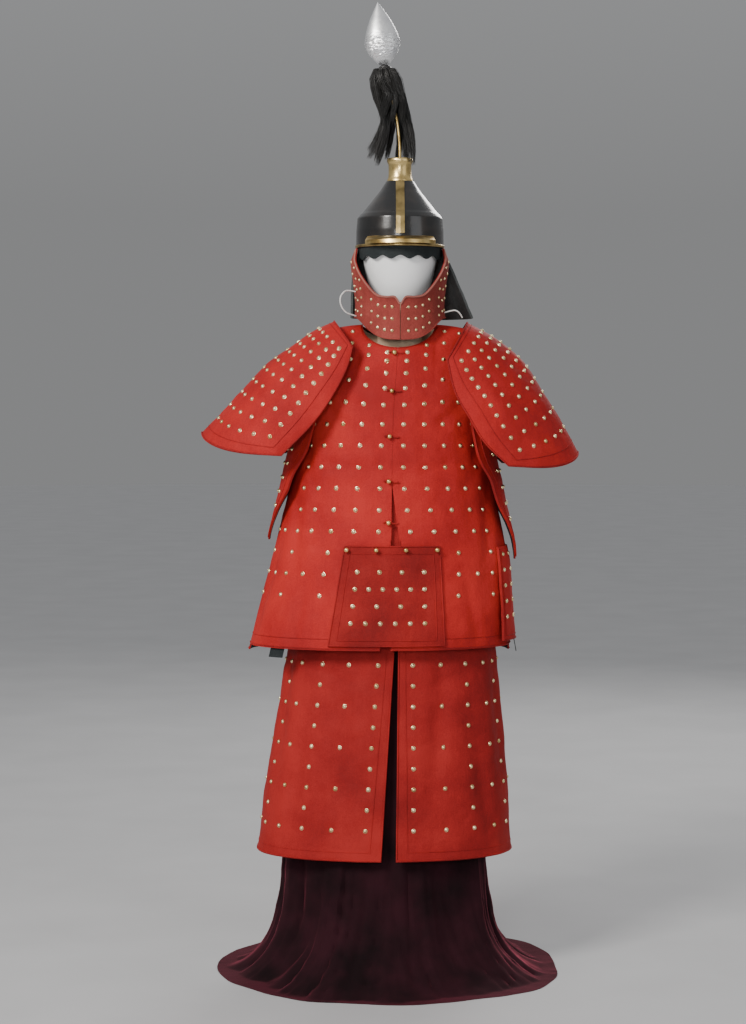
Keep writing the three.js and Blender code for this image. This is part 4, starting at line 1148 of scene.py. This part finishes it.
spots = [(0.06 + 0.08 * i, 0.16 + 0.2 * j) for i in range(12) for j in range(4) if (i + j) % 2 == 0]
panel = Wall(
    "nape_guard_cloth", nape_guard, (110, 56), (45, 2), free_end, spots,
    looks=[RUST, GREY_LINING, GREY_LINING], thick=CURTAIN_CLOTH, inside=(HEAD_X, 0, 1540),
)
pipes = [("rim", 1.7, three_sides(0.004, 0.012, 0.98), GREY_LINING, "lining")]
panel.sew("rust_cloth", ["nape_guard"], pipes, SMALL_STUD_RADIUS)


# Helmet

HEAD_AXIS = (HEAD_X, 0)
BOWL_TOP = SKULL[-1]["z"]
CROWN_HOLE = 1.5
FOOT = dict(radius=98.4, z=1621, out=1.2, half=3)
STRIP = dict(width=19, bottom=1645, thick=3.2)
BRIM = table("out z", (3, 1640), (14.85, 1636.4), (27, 1631), (28, 1623))
BRIM_TURN = 46
BAND = dict(radius=93.5, bottom=1594, top=1650, scallops=14, deep=4)
COLLAR = (
    (28.5, 1766.3), (28.5, 1770), (27, 1772), (25.5, 1778), (25.2, 1790), (25.5, 1803),
    (27, 1806), (28.5, 1809), (28.9, 1812), (28.5, 1816), (27.5, 1817), (8, 1817),
)
HEAD = table(
    "z radius",
    (1496.3, 50), (1512, 60), (1545, 72), (1590, 82), (1640, 86), (1680, 83.5), (1698, 78),
    (1722, 59),
)


def skull_radius(z):
    return straight_at(SKULL, "z", z, "radius")


outside = [(skull_radius(z), z) for z in np.linspace(HELMET_RIM_Z, BOWL_TOP, fine(75))]
inside = [(radius - SKULL_WALL, min(z, BOWL_TOP - SKULL_WALL)) for radius, z in reversed(outside)]
crown = [(CROWN_HOLE, BOWL_TOP), (CROWN_HOLE, BOWL_TOP - SKULL_WALL)]
bowl = lathe("helmet_bowl", [*outside, *crown, *inside], LACQUER, HEAD_AXIS, 110, ring=True)
place(bowl, "lacquer", "helmet_skull")

foot = [
    (FOOT["radius"] + FOOT["out"] * math.cos(a), FOOT["z"] + FOOT["half"] * math.sin(a))
    for a in np.linspace(-1.5, 1.5, 8)
]
place(lathe("helmet_foot_rim", foot, DULL_BRASS, HEAD_AXIS, 110, ring=True), "brass")


def strip(face):
    def point(s, t):
        z = mix(STRIP["bottom"], BOWL_TOP, t)
        ridge = STRIP["thick"] * (1.35 - abs(2 * s - 1) * 0.35)
        return (HEAD_X + STRIP["width"] * (s - 0.5), face * (skull_radius(z) + LAID_ON + ridge), z)

    return point


for face, word in ((-1, "front"), (1, "back")):
    band = Wall(
        f"helmet_band_{word}", strip(face), (10, 60), (12, 0.3),
        looks=[DULL_BRASS] * 3, thick=2.9, inside=(HEAD_X, 0, 1600),
    )
    place(band.piece, "brass", f"helmet_strip_{word}")


def visor(s, t):
    """Brim from the bowl out and down, widest in front."""
    turn = math.radians(BRIM_TURN * (2 * s - 1))
    spot = t * (len(BRIM) - 1)
    k = min(int(spot), len(BRIM) - 2)
    out, z = (mix(BRIM[k][key], BRIM[k + 1][key], spot - k) for key in ("out", "z"))
    radius = skull_radius(BRIM[0]["z"]) + SEAT + max(out * math.cos(turn * 1.5), BRIM[0]["out"])
    return (HEAD_X + radius * math.sin(turn), -radius * math.cos(turn), z)


inside = (HEAD_X, 0, 1500)
brim = Wall("helmet_brim", visor, (60, 24), (15, 0.25), looks=[BRASS] * 3, thick=3, inside=inside)
place(brim.piece, "brass", "helmet_visor")


def lining_band(s, t):
    """Band inside the rim with a scalloped foot."""
    turn = s * 2 * math.pi
    z = mix(BAND["bottom"] + BAND["deep"] * math.cos(turn * BAND["scallops"]), BAND["top"], t)
    return (HEAD_X + BAND["radius"] * math.sin(turn), -BAND["radius"] * math.cos(turn), z)


band = Wall(
    "helmet_lining_band", lining_band, (168, 12), (30, 0.6),
    looks=[LINING] * 3, thick=3, inside=(HEAD_X, 0, 1650), closed=True,
)
band.sew("lining", ["helmet_lining"])
place(lathe("helmet_cup", COLLAR, BRASS, HEAD_AXIS, 56), "brass", "helmet_collar")
place(lathe("head_egg", smooth_profile(HEAD, fine(60)), WHITE, HEAD_AXIS, 80), "head_white", "head_block")


# Plume, rod and finial

ROD_RADIUS = 3.6
HAIR_COUNT = 1700 if DETAIL == 1 else 500
HAIR_STEPS = 9
HAIR_SIDES = 3
HAIR_THICK = (0.45, 1.05)
LOOSE_SHARE = 0.06
LOCK_LENGTH = (198, 226)
LOCK_GATHER = 0.72
FRONT_LOCKS = dict(facing=0.72, length=(0.5, 0.62))
KNOT = ((4, 1990.5), (12, 1991), (16, 1998), (17.5, 2006), (17, 2014), (13, 2020), (7, 2024))
CARVING = dict(middle=0.28, half=0.27, deep=0.06)

rod_path = [(row_at(ROD, "z", z)["x"], 0, z) for z in np.linspace(ROD[0]["z"], ROD[-1]["z"], 30)]
place(tube("plume_stem", rod_path, ROD_RADIUS, BRASS, 12), "brass", "plume_rod")
chance = random.Random(SEED)


def strand(turn, reach, length, lock_turn, lock_reach):
    """One hair's path from the hub down; towards its tip it draws in to its lock."""
    path = []
    wander = chance.uniform(-0.12, 0.12)
    for share in steps(HAIR_STEPS):
        row = row_at(LOCK_PATH, "down", share)
        gather = LOCK_GATHER * share * share
        angle = mix(turn, lock_turn, gather) + wander * share
        spread = mix(reach, lock_reach, gather) * row["reach"] * (1 + 0.06 * math.sin(5 * share + 3 * turn))
        x = HUB["x"] + row["drift"] + spread * math.sin(angle)
        path.append(Vector((x, -spread * math.cos(angle), HUB["hair_top"] - length * share)))
    return path


def hair():
    """Tapering three-sided hairs in locks of uneven length, shorter in front, in one mesh."""
    points, faces = [], []
    lengths = [chance.uniform(*LOCK_LENGTH) for _ in range(PLUME_CLUMPS)]
    for _ in range(HAIR_COUNT):
        clump = chance.randrange(PLUME_CLUMPS)
        loose = chance.random() < LOOSE_SHARE
        turn = (clump + chance.gauss(0, 0.5 if loose else 0.22)) / PLUME_CLUMPS * 2 * math.pi
        reach = PLUME_REACH * math.sqrt(chance.uniform(0.1, 1.15 if loose else 0.95))
        length = lengths[clump] * chance.uniform(0.86, 1.0)
        lock_turn = 2 * math.pi * clump / PLUME_CLUMPS
        lock_reach = PLUME_REACH * (0.6 + 0.35 * (clump % 3) / 2)
        if math.cos(lock_turn) > FRONT_LOCKS["facing"]:
            length *= chance.uniform(*FRONT_LOCKS["length"])
        thick = chance.uniform(*HAIR_THICK)
        faces += ring_faces(HAIR_STEPS + 1, HAIR_SIDES, len(points))
        for j, here in enumerate(strand(turn, reach, length, lock_turn, lock_reach)):
            size = thick * (1 - 0.8 * (j / HAIR_STEPS) ** 2)
            for around in circle(HAIR_SIDES):
                spin = turn + around
                points.append(here + Vector((size * math.sin(spin), -size * math.cos(spin), 0)))
    return make("plume_hair", points, faces, [HAIR], smooth_angle=180)


place(hair(), "hair", "plume")
place(lathe("plume_knot", KNOT, HAIR, (HUB["x"], 0), 40), "hair")


def finial_shape(x, y, z):
    """Carved scrolls on the lower half, flattening and tilt."""
    up = z / FINIAL["height"]
    turn = math.atan2(x, -y)
    carved = clamp01(1 - abs(up - CARVING["middle"]) / CARVING["half"])
    scroll = math.sin(7 * turn + 9 * math.sin(22 * up)) * math.cos(34 * up + 2 * math.sin(5 * turn))
    swell = 1 + CARVING["deep"] * carved * scroll
    x, y = x * swell, y * swell * FINIAL["flatten"]
    tilt = math.radians(-FINIAL["tilt"])
    height = z * math.cos(tilt) - x * math.sin(tilt) + FINIAL["bottom"]
    return (x * math.cos(tilt) + z * math.sin(tilt), y, height)


leaf_rows = [dict(z=row["up"] * FINIAL["height"], radius=row["radius"]) for row in FINIAL_PROFILE]
leaf = smooth_profile(leaf_rows, fine(90))
place(lathe("finial_leaf", leaf, SILVER, (FINIAL["x"], 0), 96, finial_shape), "silver", "finial")


# Stand: form, velvet cover, and the hidden base and post

FORM_NECK = ((50.5, 1388), (50, 1440), (50, 1490), (49, 1495), (46, 1496))
FORM_EDGE = 3
FOLD_WAVES = table("around drop shift power share", (3.4, 520, 0, 5, 1), (9, 300, 7, 6, 0.4))


def form_body():
    """Smooth torso of rings with closed ends."""
    count = fine(20)
    quarter = steps(count)
    loop = [("front", 1, s) for s in quarter]
    loop += [("back", 1, s) for s in reversed(quarter)]
    loop += [("back", -1, s) for s in quarter[1:]]
    loop += [("front", -1, s) for s in reversed(quarter[1:])]
    size = len(loop)
    points = []
    up = steps(fine(50))
    for t in up:
        for face, side, s in loop:
            x, y, z = body_point(FORM, face, side, s, t)
            points.append((x, min(y, -FORM_EDGE) if face == "front" else max(y, FORM_EDGE), z))
    faces = ring_faces(len(up), size)
    top = (len(up) - 1) * size
    half = 2 * count + 1
    for i in range(-count, count):
        a, b = i % size, (i + 1) % size
        c, d = (half - i - 1) % size, (half - i) % size
        faces.append((top + a, top + b, top + c, top + d))
        faces.append((d, c, b, a))
    return make("form_torso", points, faces, [LINEN])


place(form_body(), "form_linen", "dress_form")
place(lathe("form_neck", FORM_NECK, LINEN, HEAD_AXIS, 60), "form_linen")


def velvet_folds(p, t):
    """Creases that run down the cover, deepest between its foot and its middle."""
    around = Vector((p[0], p[1], 0)).normalized()
    crease = 0
    for row in FOLD_WAVES:
        spot = (around.x * row["around"], around.y * row["around"], p[2] / row["drop"] + row["shift"])
        crease += row["share"] * (1 - abs(noise.noise(Vector(spot)))) ** row["power"]
    return FOLD_DEPTH * crease * clamp01((0.75 - t) / 0.3) * clamp01(t / 0.1)


cover = Wall(
    "velvet_cover", drape_cover, (250, 110), (85, 5), free_end,
    looks=[VELVET_LOOK] * 3, thick=VELVET, inside=(0, 0, 300), closed=True, fold=velvet_folds,
)
cover.sew("velvet", ["stand_drape"])

for node in ("stand_base", "stand_post"):
    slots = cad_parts[node].data.materials
    slots.clear()
    slots.append(STEEL)


# Pale floor, even surroundings and soft light

FLOOR_RADIUS = 30000
FLOOR_DOWN = 0.5
FLOOR_TONES = ((0.3, (0.47, 0.47, 0.475)), (0.7, (0.51, 0.51, 0.515)))
HORIZON = (0.235, 0.237, 0.24)
OVERHEAD = (0.46, 0.465, 0.475)

floor_look = Look("floor", 0.75)
floor_look.colour(floor_look.ramp(floor_look.noise(3, 4), *FLOOR_TONES))
rim = [(FLOOR_RADIUS * math.cos(turn), FLOOR_RADIUS * math.sin(turn), -FLOOR_DOWN) for turn in circle(64)]
make("floor", rim, [tuple(range(len(rim)))], [floor_look.material])


def area_light(name, spot, aim, size, power, colour):
    data = bpy.data.lights.new(name, "AREA")
    data.size = size
    data.energy = power
    data.color = colour
    lamp = bpy.data.objects.new(name, data)
    lamp.location = spot
    lamp.rotation_euler = (Vector(aim) - Vector(spot)).to_track_quat("-Z", "Y").to_euler()
    bpy.context.scene.collection.objects.link(lamp)


area_light("key", (-2.6, -3.4, 3.6), (0, 0, 1.25), 1.3, 210, (1, 0.97, 0.93))
area_light("fill", (3.4, -3.6, 2.0), (0, 0, 1.1), 2.6, 26, (0.95, 0.97, 1))
area_light("face", (-0.5, -4.4, 1.75), (0.02, 0, 1.6), 0.5, 40, (1, 1, 1))
area_light("back", (1.5, 4.2, 3.4), (0, 0, 1.2), 2.0, 90, (1, 0.98, 0.96))

world = bpy.data.worlds.new("studio")
world.use_nodes = True
nodes, links = world.node_tree.nodes, world.node_tree.links
direction = nodes.new("ShaderNodeTexCoord")
parts = nodes.new("ShaderNodeSeparateXYZ")
sky = nodes.new("ShaderNodeValToRGB")
for element, (position, colour) in zip(sky.color_ramp.elements, ((0.08, HORIZON), (0.5, OVERHEAD))):
    element.position = position
    element.color = (*colour, 1)
links.new(direction.outputs["Generated"], parts.inputs["Vector"])
links.new(parts.outputs["Z"], sky.inputs["Fac"])
links.new(sky.outputs["Color"], nodes["Background"].inputs["Color"])
bpy.context.scene.world = world
